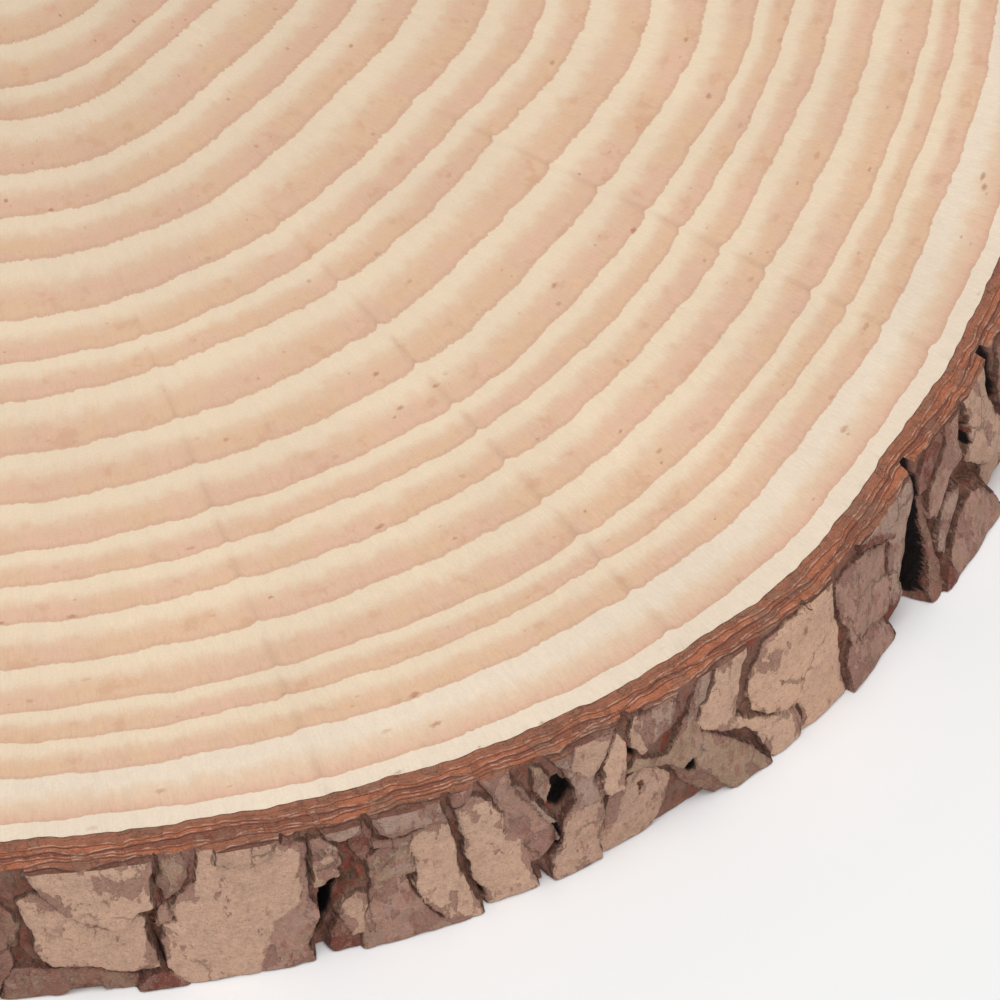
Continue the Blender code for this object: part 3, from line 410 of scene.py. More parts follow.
class Finish:
    """A material being built: node() makes any node, and Channel does the sums."""

    def __init__(self, name):
        self.material = bpy.data.materials.new(name)
        self.material.use_nodes = True
        self.tree = self.material.node_tree
        self.shader = self.tree.nodes["Principled BSDF"]

    def node(self, kind, settings=(), sockets=(), out=0):
        """A node with its settings made first and its sockets then given numbers or links."""
        made = self.tree.nodes.new(kind)
        for key, value in dict(settings).items():
            setattr(made, key, value)
        for key, value in dict(sockets).items():
            self.feed(made.inputs[key], value)
        return Channel(self, made.outputs[out])

    def feed(self, socket, value):
        """Links a channel to a socket, or sets the socket's own value."""
        if isinstance(value, Channel):
            self.tree.links.new(value.socket, socket)
        else:
            socket.default_value = value

    def position(self):
        """The point on the surface in millimetres."""
        point = self.node("ShaderNodeTexCoord", out=3)
        return self.node("ShaderNodeVectorMath", {"operation": "SCALE"}, {0: point, 3: 1.0 / MM})

    def stretch(self, vector, x, y, z):
        """A vector with each of its parts multiplied."""
        return self.vector("MULTIPLY", vector, (x, y, z))

    def number(self, name):
        """A number stored on the mesh's points."""
        return self.node("ShaderNodeAttribute", {"attribute_name": name}, out=2)

    def stored_colour(self, name):
        """A colour stored on the mesh's points."""
        return self.node("ShaderNodeAttribute", {"attribute_name": name}, out=0)

    def vector(self, operation, *parts, out=0):
        """A Vector Math node."""
        return self.node("ShaderNodeVectorMath", {"operation": operation}, dict(enumerate(parts)), out)

    def joined(self, x=0.0, y=0.0, z=0.0):
        """A vector from three numbers."""
        return self.node("ShaderNodeCombineXYZ", {}, {0: x, 1: y, 2: z})

    def noise(self, vector, size, detail, roughness=0.5):
        """Cloudy noise from 0 to 1 with features of a size in mm."""
        sockets = {"Vector": vector, "Scale": 1.0 / size, "Detail": detail, "Roughness": roughness}
        return self.node("ShaderNodeTexNoise", {"noise_dimensions": "3D"}, sockets)

    def cells(self, vector, size, feature):
        """Cells of a size in mm, read by their distance from a middle or from an edge."""
        settings = {"voronoi_dimensions": "3D", "feature": feature}
        sockets = {"Vector": vector, "Scale": 1.0 / size, "Randomness": 1.0}
        return self.node("ShaderNodeTexVoronoi", settings, sockets)

    def ramp(self, value, low, high, start=0.0, end=1.0):
        """Goes smoothly from start, where value is low, to end, where it is high."""
        sockets = {0: value, 1: low, 2: high, 3: start, 4: end}
        return self.node("ShaderNodeMapRange", {"interpolation_type": "SMOOTHSTEP"}, sockets)

    def tone(self, name):
        """One of the scene's colours."""
        return tuple(getattr(bpy.context.scene.slice_colours, name))

    def mix(self, share, first, second):
        """Two colours mixed by a share from 0 to 1."""
        first = first if isinstance(first, Channel) else (*first, 1.0)
        second = second if isinstance(second, Channel) else (*second, 1.0)
        return self.node("ShaderNodeMix", {"data_type": "RGBA"}, {0: share, 6: first, 7: second}, out=2)

    def layered(self, colour, *layers):
        """A colour with some of the scene's colours laid over it in turn, given as (name, share)."""
        for name, share in layers:
            colour = self.mix(share, colour, self.tone(name))
        return colour

    def shade(self, colour, brightness):
        """A colour multiplied by a number."""
        return self.node("ShaderNodeVectorMath", {"operation": "SCALE"}, {0: colour, 3: brightness})

    def bands(self, value, stops):
        """A colour ramp with smooth steps between its stops, given as (place, colour)."""
        made = self.node("ShaderNodeValToRGB", {}, {0: value})
        elements = made.socket.node.color_ramp.elements
        elements[0].position, elements[1].position = stops[0][0], stops[-1][0]
        elements[0].color, elements[1].color = (*stops[0][1], 1.0), (*stops[-1][1], 1.0)
        for place, colour in stops[1:-1]:
            elements.new(place).color = (*colour, 1.0)
        return made

    def finish(self, colour, roughness, gloss, relief=None):
        """Feeds the shader's colour, roughness and gloss, and a bump from a relief in millimetres."""
        settings = {"Base Color": colour, "Roughness": roughness, "Specular IOR Level": gloss}
        if relief is not None:
            sockets = {"Strength": 1.0, "Distance": MM, "Height": relief}
            settings["Normal"] = self.node("ShaderNodeBump", {}, sockets)
        for socket, value in settings.items():
            self.feed(self.shader.inputs[socket], value)
        return self.material


def swung(base, *parts):
    """A number or channel with noises added to it, each centred on nothing, given as (noise, size)."""
    for noise, size in parts:
        base = base + noise.swing(size)
    return base


def bell(azimuth, centre, half_width):
    """A bell curve round one azimuth, 1 at its centre."""
    off = (azimuth - centre + 180.0) % 360.0 - 180.0
    return np.exp(-((off / half_width) ** 2))


def cambium(azimuth):
    """Radius of the wood: a circle with a few cosine lobes and single bell-shaped swellings."""
    radius = np.full(np.shape(azimuth), CAMBIUM_RADIUS)
    for order, crest, height in TRUNK_LOBES:
        radius += height * np.cos(np.radians(order * (azimuth - crest)))
    for centre, height, half_width in TRUNK_SWELLINGS:
        radius += height * bell(azimuth, centre, half_width)
    return radius


def boundary(azimuth):
    """Radius of the line where the wood's colour ends and the bark's begins."""
    turn = np.radians(azimuth)
    waver = sum(size * np.sin(cycles * turn + cycles) for cycles, size in INSET_WAVES)
    return cambium(azimuth) - BARK_INSET + waver


def lattice_noise(azimuth, height, cell, seed, tall):
    """Random surface from -1 to 1: random numbers on a lattice wrapped round the trunk, blended smoothly.

    Each lattice cell is cell mm wide and tall times that high.
    """
    columns = max(3, round(2.0 * math.pi * BARK_RADIUS / cell))
    across = azimuth / 360.0 * columns
    up = height / (cell * tall)
    rows = math.ceil(float(up.max() - up.min())) + 2
    lattice = np.random.default_rng(seed).uniform(-1.0, 1.0, (rows, columns))
    up = up - up.min()
    i, j = np.floor(across).astype(int), np.floor(up).astype(int)
    fx, fy = across - i, up - j
    fx, fy = fx * fx * (3.0 - 2.0 * fx), fy * fy * (3.0 - 2.0 * fy)
    i, onward = i % columns, (i + 1) % columns
    low = lattice[j, i] * (1.0 - fx) + lattice[j, onward] * fx
    high = lattice[j + 1, i] * (1.0 - fx) + lattice[j + 1, onward] * fx
    return low * (1.0 - fy) + high * fy


def cloud(azimuth, height, size, cell, seed, octaves, tall=1.0):
    """Lattice noise of a size, with finer and weaker copies of itself added, each half the last."""
    total = 0.0
    for octave in range(octaves):
        share = 0.5**octave
        total = total + share * lattice_noise(azimuth, height, cell * share, seed + octave, tall)
    return size * total


def smooth_step(value, low, high):
    """0 where value is at low, 1 where it is at high, and a smooth step between."""
    share = np.clip((value - low) / (high - low), 0.0, 1.0)
    return share * share * (3.0 - 2.0 * share)


def ring_radius(azimuth, mean):
    """Radius of a ring: its mean, bulged by shapes that are blended between ring sizes.

    The last shape is the trunk's own outline, so the outer rings follow the bark.
    """
    sizes = [0.0, *[size for size, _ in RING_SHAPES], CAMBIUM_RADIUS]
    shapes = [np.zeros(np.shape(azimuth))]
    for _, bulges in RING_SHAPES:
        shapes.append(sum(share * bell(azimuth, centre, width) for centre, share, width in bulges))
    shapes.append(cambium(azimuth) / CAMBIUM_RADIUS - 1.0)
    weights = [np.interp(mean, sizes, row) for row in np.eye(len(sizes))]
    return mean * (1.0 + sum(weight * shape for weight, shape in zip(weights, shapes)))


def ring_folds(azimuth, mean):
    """Dip of a ring in mm at the radial folds, none near the pith."""
    strength = smooth_step(mean, *FOLDS_BEGIN)
    return strength * sum(dip * bell(azimuth, centre, width) for centre, dip, width in RING_FOLDS)


def ring_edges(azimuth):
    """Radii of every ring's outer edge, one row a ring, each a little wavy, and last the wood's edge."""
    rng = np.random.default_rng(RING_SEED)
    turn = np.radians(azimuth)
    rows = []
    for mean in (*RING_EDGES, CAMBIUM_RADIUS):
        outermost = mean == CAMBIUM_RADIUS
        row = boundary(azimuth) if outermost else ring_radius(azimuth, mean) - ring_folds(azimuth, mean)
        for cycles in WAVER_CYCLES:
            weakened = (WAVER_WEAKENS_AT / (cycles + WAVER_WEAKENS_AT)) ** 0.5
            size = WAVER_SIZE * min(1.0, mean / WAVER_FULL_AT) * weakened
            phase = rng.uniform(0.0, 2.0 * np.pi)
            row = row + (0.0 if outermost else size) * np.sin(cycles * turn + phase)
        rows.append(row)
    return np.array(rows)


def around(azimuth, radius, height):
    """Points in metres at an azimuth, a radius and a height."""
    turn = np.radians(azimuth)
    return np.stack([radius * np.cos(turn), radius * np.sin(turn), height + 0.0 * turn], axis=-1) * MM


def grid_faces(stations, count, around_trunk, closed):
    """Four-sided faces between neighbouring columns of points, and round each column where it is closed.

    The last column is joined to the first where the grid goes all the way round the trunk.
    """
    index = np.arange(stations * count).reshape(stations, count)
    onward = np.roll(index, -1, axis=0)
    last = count if closed else count - 1
    columns = stations if around_trunk else stations - 1
    corners = [index[:, :last], onward[:, :last], np.roll(onward, -1, axis=1)[:, :last],
               np.roll(index, -1, axis=1)[:, :last]]
    return np.stack([corner[:columns] for corner in corners], axis=-1).reshape(-1, 4)


def make_mesh(name, points, quads, triangles=()):
    """A mesh object at the origin from arrays of points and faces."""
    triangles = np.asarray(triangles, dtype=int).reshape(-1, 3)
    mesh = bpy.data.meshes.new(name)
    mesh.vertices.add(len(points))
    mesh.vertices.foreach_set("co", points.astype(np.float32).ravel())
    corners = np.concatenate([quads.ravel(), triangles.ravel()])
    sizes = np.concatenate([np.full(len(quads), 4), np.full(len(triangles), 3)])
    mesh.loops.add(len(corners))
    mesh.loops.foreach_set("vertex_index", corners.astype(np.int32))
    mesh.polygons.add(len(sizes))
    mesh.polygons.foreach_set("loop_start", (np.cumsum(sizes) - sizes).astype(np.int32))
    mesh.update(calc_edges=True)
    mesh.validate()
    mesh.shade_smooth()
    piece = bpy.data.objects.new(name, mesh)
    bpy.context.scene.collection.objects.link(piece)
    return piece


def store_number(piece, name, values):
    """Stores one number for each point of a piece."""
    layer = piece.data.attributes.new(name, "FLOAT", "POINT")
    layer.data.foreach_set("value", np.asarray(values, dtype=np.float32).ravel())


def store_colour(piece, name, colours):
    """Stores one colour for each point of a piece."""
    layer = piece.data.attributes.new(name, "FLOAT_COLOR", "POINT")
    opaque = np.concatenate([colours, np.ones((len(colours), 1))], axis=1)
    layer.data.foreach_set("color", opaque.astype(np.float32).ravel())


def sawn_wood():
    """Sawn pine: each ring goes from cream to a pinker tan, crossed by fine rays and marked with resin.

    The mesh counts rings outwards in its age, so the part of it after the point is the place inside a ring.
    """
    paint = Finish("sawn_pine")
    point = paint.position()
    flat = paint.stretch(point, 1.0, 1.0, 0.0)
    outward = paint.vector("NORMALIZE", flat)
    radius = paint.vector("LENGTH", flat, out=1)

    def rays(width, length):
        """Noise drawn out along the radius, width mm across at the rim."""
        turned = paint.stretch(outward, CAMBIUM_RADIUS / width, CAMBIUM_RADIUS / width, 0.0)
        return paint.noise(paint.vector("ADD", turned, paint.joined(z=radius * (1.0 / length))), 1.0, 1.0)

    fine_rays = rays(0.32, 3.2)
    broad_rays = rays(1.6, 14.0)
    teeth = rays(0.5, 1.2)
    steps = rays(1.1, 3.0)
    strokes = rays(0.3, 1.1)
    hairs = rays(0.26, 1.0)
    lumps = paint.noise(point, 1.7, 3.0, 0.6)
    stains = paint.noise(point, 2.6, 3.0, 0.6)
    clouds = paint.noise(point, 16.0, 3.0)
    warmth = paint.noise(paint.stretch(point, 1.0, 1.0, -1.0), 9.0, 3.0, 0.6)
    grain = paint.noise(point, 0.22, 2.0)

    age = swung(paint.number("age"), (teeth, 0.05), (steps, 0.09))
    inside_ring = age.math("FRACT")
    middle = inside_ring * (1.0 - inside_ring) * 4.0
    softened = inside_ring + (lumps.swing(0.36) + broad_rays.swing(0.22)) * middle

    def from_ring(count):
        """1 in the last rings, from so many before the bark, and 0 inside them."""
        start = float(len(RING_EDGES) + 1 - count)
        return paint.ramp(age, start - 0.001, start + 0.001)

    cream, fresh, pink, late, pale = map(paint.tone, ("cream", "fresh", "pink", "late", "pale"))
    early = paint.bands(
        softened,
        ((0.0, late), (0.03, cream), (0.26, cream), (0.52, fresh), (0.66, fresh), (0.95, late), (1.0, late)),
    )
    outer = paint.bands(
        softened,
        ((0.0, late), (0.022, pale), (0.36, pale), (0.62, fresh), (0.90, pink), (1.0, late)),
    )
    turning = paint.ramp(softened, 0.34, 0.74) * paint.ramp(softened, 1.0, 0.86, 0.4, 1.0)
    ring = paint.mix(turning, early, paint.mix(paint.ramp(warmth, 0.42, 0.58), pink, paint.tone("peach")))
    sapwood = from_ring(2)
    colour = paint.mix(sapwood, ring, paint.mix(from_ring(1), outer, pale))
    colour = paint.layered(colour, ("late", paint.ramp(age, 0.0, 1.1, 0.55, 0.0)))
    light = swung(
        paint.ramp(radius, 15.0, 75.0, 0.9, 1.0),
        (fine_rays, 0.045), (broad_rays, 0.08), (clouds, 0.16), (grain, 0.09),
        (hairs, paint.ramp(radius, 70.0, 112.0, 0.05, 0.14)),
    )
    light = light - paint.number("fold") * paint.ramp(inside_ring, 0.25, 0.8, 0.02, 0.10)
    light = light - paint.ramp(inside_ring, 0.88, 0.985) * paint.ramp(lumps, 0.35, 0.6) * 0.035
    light = light - paint.ramp(strokes, 0.56, 0.68) * paint.ramp(inside_ring, 0.5, 0.95) * 0.06

    def marks(cell, share, size):
        """Short strokes along the ring in cells of so many mm, in a share of them, mostly in its pink."""
        drawn = paint.stretch(outward, CAMBIUM_RADIUS * 0.7, CAMBIUM_RADIUS * 0.7, 0.0)
        bend = lumps.swing(0.8)
        bent = paint.joined(bend, bend, radius * 1.5 + grain.swing(0.7))
        cells = paint.cells(paint.vector("ADD", drawn, bent), cell, "F1")
        chosen = paint.node("ShaderNodeSeparateColor", {}, {0: Channel(paint, cells.socket.node.outputs[1])})
        near = paint.ramp(cells, size / cell, size / cell * 0.35)
        return near * paint.ramp(chosen, share + 0.02, share) * paint.ramp(inside_ring, 0.3, 0.55)

    gathered = paint.ramp(clouds, 0.42, 0.58, 0.25, 0.6)
    resin = marks(3.6, 0.42, 0.55) * gathered
    specks = marks(1.9, 0.36, 0.26) * gathered
    pith = paint.ramp(radius, 1.6, 0.7)
    smudges = paint.ramp(stains, 0.56, 0.70) * paint.ramp(inside_ring, 0.4, 0.62) * (1.0 - sapwood)
    colour = paint.layered(
        paint.shade(colour, light),
        ("smudge", smudges * 0.4),
        ("resin", resin.strongest(specks)),
        ("pith", pith * 0.75),
    )
    relief = fine_rays.swing(0.014) + grain.swing(0.04) - resin * 0.05 - pith * 0.1
    return paint.finish(colour, 0.62 + grain.swing(0.12), 0.3, relief)


def wood_disc():
    """The wood: a disc whose rows of points lie on the ring edges, so that its age counts rings exactly.

    Rows run from the pith out over the top, down the wall at the cambium and back in under the slice.
    """
    stations = bpy.context.scene.slice_sizes.wood_stations
    azimuth = 360.0 / stations * np.arange(stations)
    edges = ring_edges(azimuth)
    ages = np.arange(1, len(edges) + 1)
    radii = np.concatenate([edges, edges[::-1]]).T
    age = np.concatenate([ages, ages[::-1]])
    height = np.concatenate([np.full(len(edges), THICKNESS), np.zeros(len(edges))])
    count = len(age)
    points = around(azimuth[:, None], radii, height[None, :]).reshape(-1, 3)
    poles = np.array([[0.0, 0.0, THICKNESS * MM], [0.0, 0.0, 0.0]])
    start = np.arange(stations) * count
    onward = np.roll(start, -1)
    top, bottom = len(points), len(points) + 1
    fans = np.concatenate([
        np.stack([start, np.full(stations, top), onward], axis=-1),
        np.stack([onward + count - 1, np.full(stations, bottom), start + count - 1], axis=-1),
    ])
    quads = grid_faces(stations, count, around_trunk=True, closed=False)[:, ::-1]
    piece = make_mesh("wood_disc", np.concatenate([points, poles]), quads, fans[:, ::-1])
    store_number(piece, "age", np.concatenate([np.tile(age, stations), [0.0, 0.0]]))
    folded = sum(bell(azimuth, centre, FOLD_COLOUR_WIDTH * width) for centre, _, width in RING_FOLDS)
    begun = smooth_step(radii, *FOLDS_BEGIN)
    store_number(piece, "fold", np.concatenate([(folded[:, None] * begun).ravel(), [0.0, 0.0]]))
    piece.data.set_sharp_from_angle(angle=SHARP_ANGLE)
    piece.data.materials.append(sawn_wood())
    return piece


def distance_inside(across, height, corners):
    """Distance from each point to a closed outline, positive inside it and negative outside."""
    start = np.asarray(corners)
    run = np.roll(start, -1, axis=0) - start
    off_x = across[:, None] - start[:, 0]
    off_z = height[:, None] - start[:, 1]
    along = (off_x * run[:, 0] + off_z * run[:, 1]) / (run**2).sum(axis=1)
    along = np.clip(along, 0.0, 1.0)
    nearest = np.hypot(off_x - along * run[:, 0], off_z - along * run[:, 1]).min(axis=1)
    end_height = start[:, 1] + run[:, 1]
    crosses = (start[:, 1] > height[:, None]) != (end_height > height[:, None])
    climb = np.where(run[:, 1] == 0.0, 1.0, run[:, 1])
    left_of = off_x < off_z / climb * run[:, 0]
    inside = (crosses & left_of).sum(axis=1) % 2 == 1
    return np.where(inside, nearest, -nearest)


def far_plates():
    """Plates and deep furrows of the far side, laid out as the CAD part's are.

    Meandering furrows run from the underside to the top, one to each column of bark. Slanting joints cut
    a column into plates, and about half of the columns carry a flake that hangs from the top in a point.
    """
    rng = np.random.default_rng(FAR_SEED)
    tints = np.random.default_rng(TINT_SEED)
    first, last = NEAR_SPAN[1], NEAR_SPAN[0] + 360.0
    pitch = (last - first) / FAR_COLUMNS
    centres = first + pitch * np.arange(FAR_COLUMNS + 1)
    centres[1:-1] += pitch * rng.uniform(-COLUMN_UNEVENNESS, COLUMN_UNEVENNESS, FAR_COLUMNS - 1)
    kinks = np.array(KINK_HEIGHTS)
    lean = rng.uniform(-FURROW_LEAN, FURROW_LEAN, FAR_COLUMNS + 1)
    wander = rng.uniform(-FURROW_KINK, FURROW_KINK, (FAR_COLUMNS + 1, len(kinks)))
    lines = centres[:, None] + lean[:, None] * (kinks / THICKNESS - 0.5) + wander
    widths = rng.uniform(*FURROW_WIDTHS, FAR_COLUMNS + 1)
    widths[DEEP_FURROW_EVERY::DEEP_FURROW_EVERY] = DEEP_FURROW_WIDTH
    plates = []
    hollows = []

    def tint():
        """One of the bark's tints, drawn by how common it is."""
        return tints.choice(list(TINT_CHANCES), p=list(TINT_CHANCES.values()))

    for column in range(FAR_COLUMNS):
        left = lines[column] + widths[column] / 2.0
        right = lines[column + 1] - widths[column + 1] / 2.0
        joints = JOINT_HEIGHTS[rng.choice(len(JOINT_HEIGHTS), p=JOINT_CHANCES)]
        cuts = [(0.0, 0.0)]
        for joint in joints:
            middle = joint + rng.uniform(-JOINT_SHIFT, JOINT_SHIFT)
            slope = rng.uniform(-JOINT_SLOPE, JOINT_SLOPE)
            cuts.append((middle - slope, middle + slope))
        cuts.append((KINK_HEIGHTS[-1], KINK_HEIGHTS[-1]))
        for below, above in zip(cuts[:-1], cuts[1:]):
            foot = rng.uniform(*PLATE_FEET)
            head = rng.uniform(*PLATE_HEADS)
            outline = []
            for edge, low, high, step in (
                (left, below[0], above[0], 1),
                (right, below[1], above[1], -1),
            ):
                low += JOINT_GAP / 2.0
                high -= JOINT_GAP / 2.0
                heights = [low, *[k for k in KINK_HEIGHTS if low < k < high], high]
                side = [(float(np.interp(h, kinks, edge)), h) for h in heights]
                outline += side[::step]
            plates.append((tint(), foot, head, tuple(outline)))
        if rng.random() < FLAKE_CHANCE:
            foot, head = plates[-1][1:3]
            bottom = rng.uniform(*FLAKE_BOTTOMS)
            inner_left = left[-1] + rng.uniform(*FLAKE_INSETS)
            inner_right = right[-1] - rng.uniform(*FLAKE_INSETS)
            tip = rng.uniform(*FLAKE_TIPS)
            point = inner_left + tip * (inner_right - inner_left)
            outline = (
                (inner_left, KINK_HEIGHTS[-1]),
                (inner_left + 0.2, bottom + 4.0),
                (point - 0.7, bottom + 0.6),
                (point + 0.6, bottom),
                (inner_right - 0.2, bottom + 3.2),
                (inner_right, KINK_HEIGHTS[-1]),
            )
            plates.append((tint(), foot + FLAKE_RISE, head + FLAKE_RISE, outline))
        if widths[column] == DEEP_FURROW_WIDTH:
            half = HOLLOW_SHARE * DEEP_FURROW_WIDTH
            low, high = rng.uniform(*DEEP_FURROW_FEET), rng.uniform(*DEEP_FURROW_HEADS)
            middle = (low + high) / 2.0
            foot, waist, head = (float(np.interp(h, kinks, lines[column])) for h in (low, middle, high))
            outline = ((foot, low), (waist - half, middle), (head, high), (waist + half, middle))
            hollows.append((DEEP_FURROW_RISE, outline))
    return tuple(plates), tuple(hollows)


def ragged(azimuth, height):
    """Shift that makes straight outlines ragged: a few crossed sine waves."""
    turn = np.radians(azimuth)
    return sum(
        size * np.sin(cycles * turn + 2.0 * np.pi * climb * height + cycles)
        for cycles, climb, size in RAGGED_WAVES
    )


def near_points(azimuth, outline):
    """Which points lie near an outline, with their places and the outline's corners in mm from its middle."""
    corners = np.array(outline)
    middle = corners[:, 0].mean()
    off = (azimuth - middle + 180.0) % 360.0 - 180.0
    half = np.abs(corners[:, 0] - middle).max() + OUTLINE_REACH
    corners[:, 0] = np.radians(corners[:, 0] - middle) * BARK_RADIUS
    near = np.nonzero(np.abs(off) < half)[0]
    return near, np.radians(off[near]) * BARK_RADIUS, corners


def bark_surface(azimuth, height):
    """The bark's rise over the cambium, with what its colour needs, at points given by azimuth and height.

    The furrow floor is a slope from underside to top. Each plate is a tilted flat with a rounded rim and
    a steep edge, and the highest plate at a point wins. Hollows then cut down through all of them. Clouds
    of noise roughen plates, floors and outlines. Edge is the distance in mm inside the nearest plate and
    sunk the share of a common plate's rise that is missing; the painted shade of a hollow, in it and round
    it, and the painted shadow under a plate's edge are returned as well.
    """
    share = height / THICKNESS
    common = COMMON_RISE[0] + (COMMON_RISE[1] - COMMON_RISE[0]) * share
    rise = FURROW_FOOT + (FURROW_HEAD - FURROW_FOOT) * share
    rise = rise + cloud(azimuth, height, *FLOOR_CLOUD)
    shift = ragged(azimuth, height) + cloud(azimuth, height, *SIDEWAYS_CLOUD)
    lifted = height + ragged(azimuth + RAGGED_TURN, height) + cloud(azimuth, height, *UPWARD_CLOUD)
    steepness = EDGE_STEEPNESS * (1.0 + cloud(azimuth, height, *STEEPNESS_CLOUD))
    skin = sum(cloud(azimuth, height, *layer) for layer in SKIN_CLOUDS)
    tint = np.tile(srgb(*BARK_TINTS["umber"]), (len(azimuth), 1))
    wear = np.ones(len(azimuth))
    edge = np.full(len(azimuth), OFF_PLATES)
    won = np.zeros(len(azimuth), dtype=bool)
    gloom = np.zeros(len(azimuth))
    plates, hollows = far_plates()
    laid = []
    for name, foot, head, outline in NEAR_PLATES + plates:
        near, across, corners = near_points(azimuth, outline)
        inside = distance_inside(across + shift[near], lifted[near], corners)
        face = foot + (head - foot) * share[near] + skin[near]
        surface = face + steepness[near] * np.minimum(inside, 0.0)
        surface -= EDGE_ROUND_DEPTH * np.exp(-np.maximum(inside, 0.0) / EDGE_ROUND_WIDTH)
        wins = surface > rise[near]
        rise[near[wins]] = surface[wins]
        tint[near[wins]] = srgb(*BARK_TINTS[name])
        wear[near[wins]] = PLATE_WEAR[name]
        edge[near] = np.where(wins, inside, np.where(won[near], edge[near], np.maximum(edge[near], inside)))
        won[near[wins]] = True
        laid.append((near, inside, face))
    for floor, outline in NEAR_HOLLOWS + hollows:
        near, across, corners = near_points(azimuth, outline)
        inside = distance_inside(across + shift[near], lifted[near], corners)
        wall = floor + HOLLOW_STEEPNESS * np.maximum(-inside, 0.0)
        cuts = wall < rise[near]
        lost = rise[near[cuts]] - wall[cuts]
        whole = rise[near[cuts]] - floor
        # Painted shade on the walls that a hollow cuts, darker the more it cuts away
        gloom[near[cuts]] = lost / np.maximum(whole, LEAST_CUT) * smooth_step(whole, *CUT_SHOWS)
        rise[near[cuts]] = wall[cuts]
        edge[near[cuts]] = np.minimum(edge[near[cuts]], IN_HOLLOW)
        # Painted shade on the plates round a hollow whose floor is the deepest
        beside = smooth_step(inside, *SHADE_REACH) * smooth_step(common[near] - rise[near], *SHADE_DEPTH)
        gloom[near] = np.maximum(gloom[near], beside * (floor <= DEEPEST_FLOOR))
    # Painted shadow just outside the edge of a plate that stands above the bark below it
    overhang = np.zeros(len(azimuth))
    for near, inside, face in laid:
        under = np.clip(1.0 + inside / OVERHANG_REACH, 0.0, 1.0) * (inside < 0.0)
        under *= smooth_step(face - rise[near], *OVERHANG_DROP)
        overhang[near] = np.maximum(overhang[near], under)
    rise = np.maximum(rise, LEAST_RISE)
    sunk = 1.0 - rise / common
    return {
        "rise": rise, "edge": edge, "sunk": sunk, "gloom": gloom, "overhang": overhang, "wear": wear,
        "tint": tint,
    }


def scale_lines(azimuth):
    """Depths in mm from the cambium of the pale lines that part the bark's layers on the sawn face.

    Each line is a row of shallow arcs whose ends turn outward, and it never crosses the line inside it.
    """
    rng = np.random.default_rng(LINE_SEED)
    lines = []
    for depth, swing, pitch in SCALE_LINES:
        cusps = round(360.0 / pitch)
        spread = rng.uniform(-LINE_UNEVENNESS, LINE_UNEVENNESS, cusps)
        places = np.sort((np.arange(cusps) + spread) * 360.0 / cusps)
        depths = rng.uniform(*LINE_DEPTHS, cusps)
        bounds = np.concatenate([places, [places[0] + 360.0]])
        turned = (azimuth - places[0]) % 360.0 + places[0]
        cell = np.clip(np.searchsorted(bounds, turned, side="right") - 1, 0, cusps - 1)
        along = (turned - bounds[cell]) / (bounds[cell + 1] - bounds[cell])
        bulge = 1.0 - np.abs(2.0 * along - 1.0)
        arc = depth + swing * (1.0 - bulge) ** 3 + depths[cell] * bulge
        arc = arc + cloud(azimuth, np.zeros(len(azimuth)), *LINE_CLOUD)
        lines.append(np.maximum(arc, lines[-1] + LINE_SPACING) if lines else arc)
    return lines


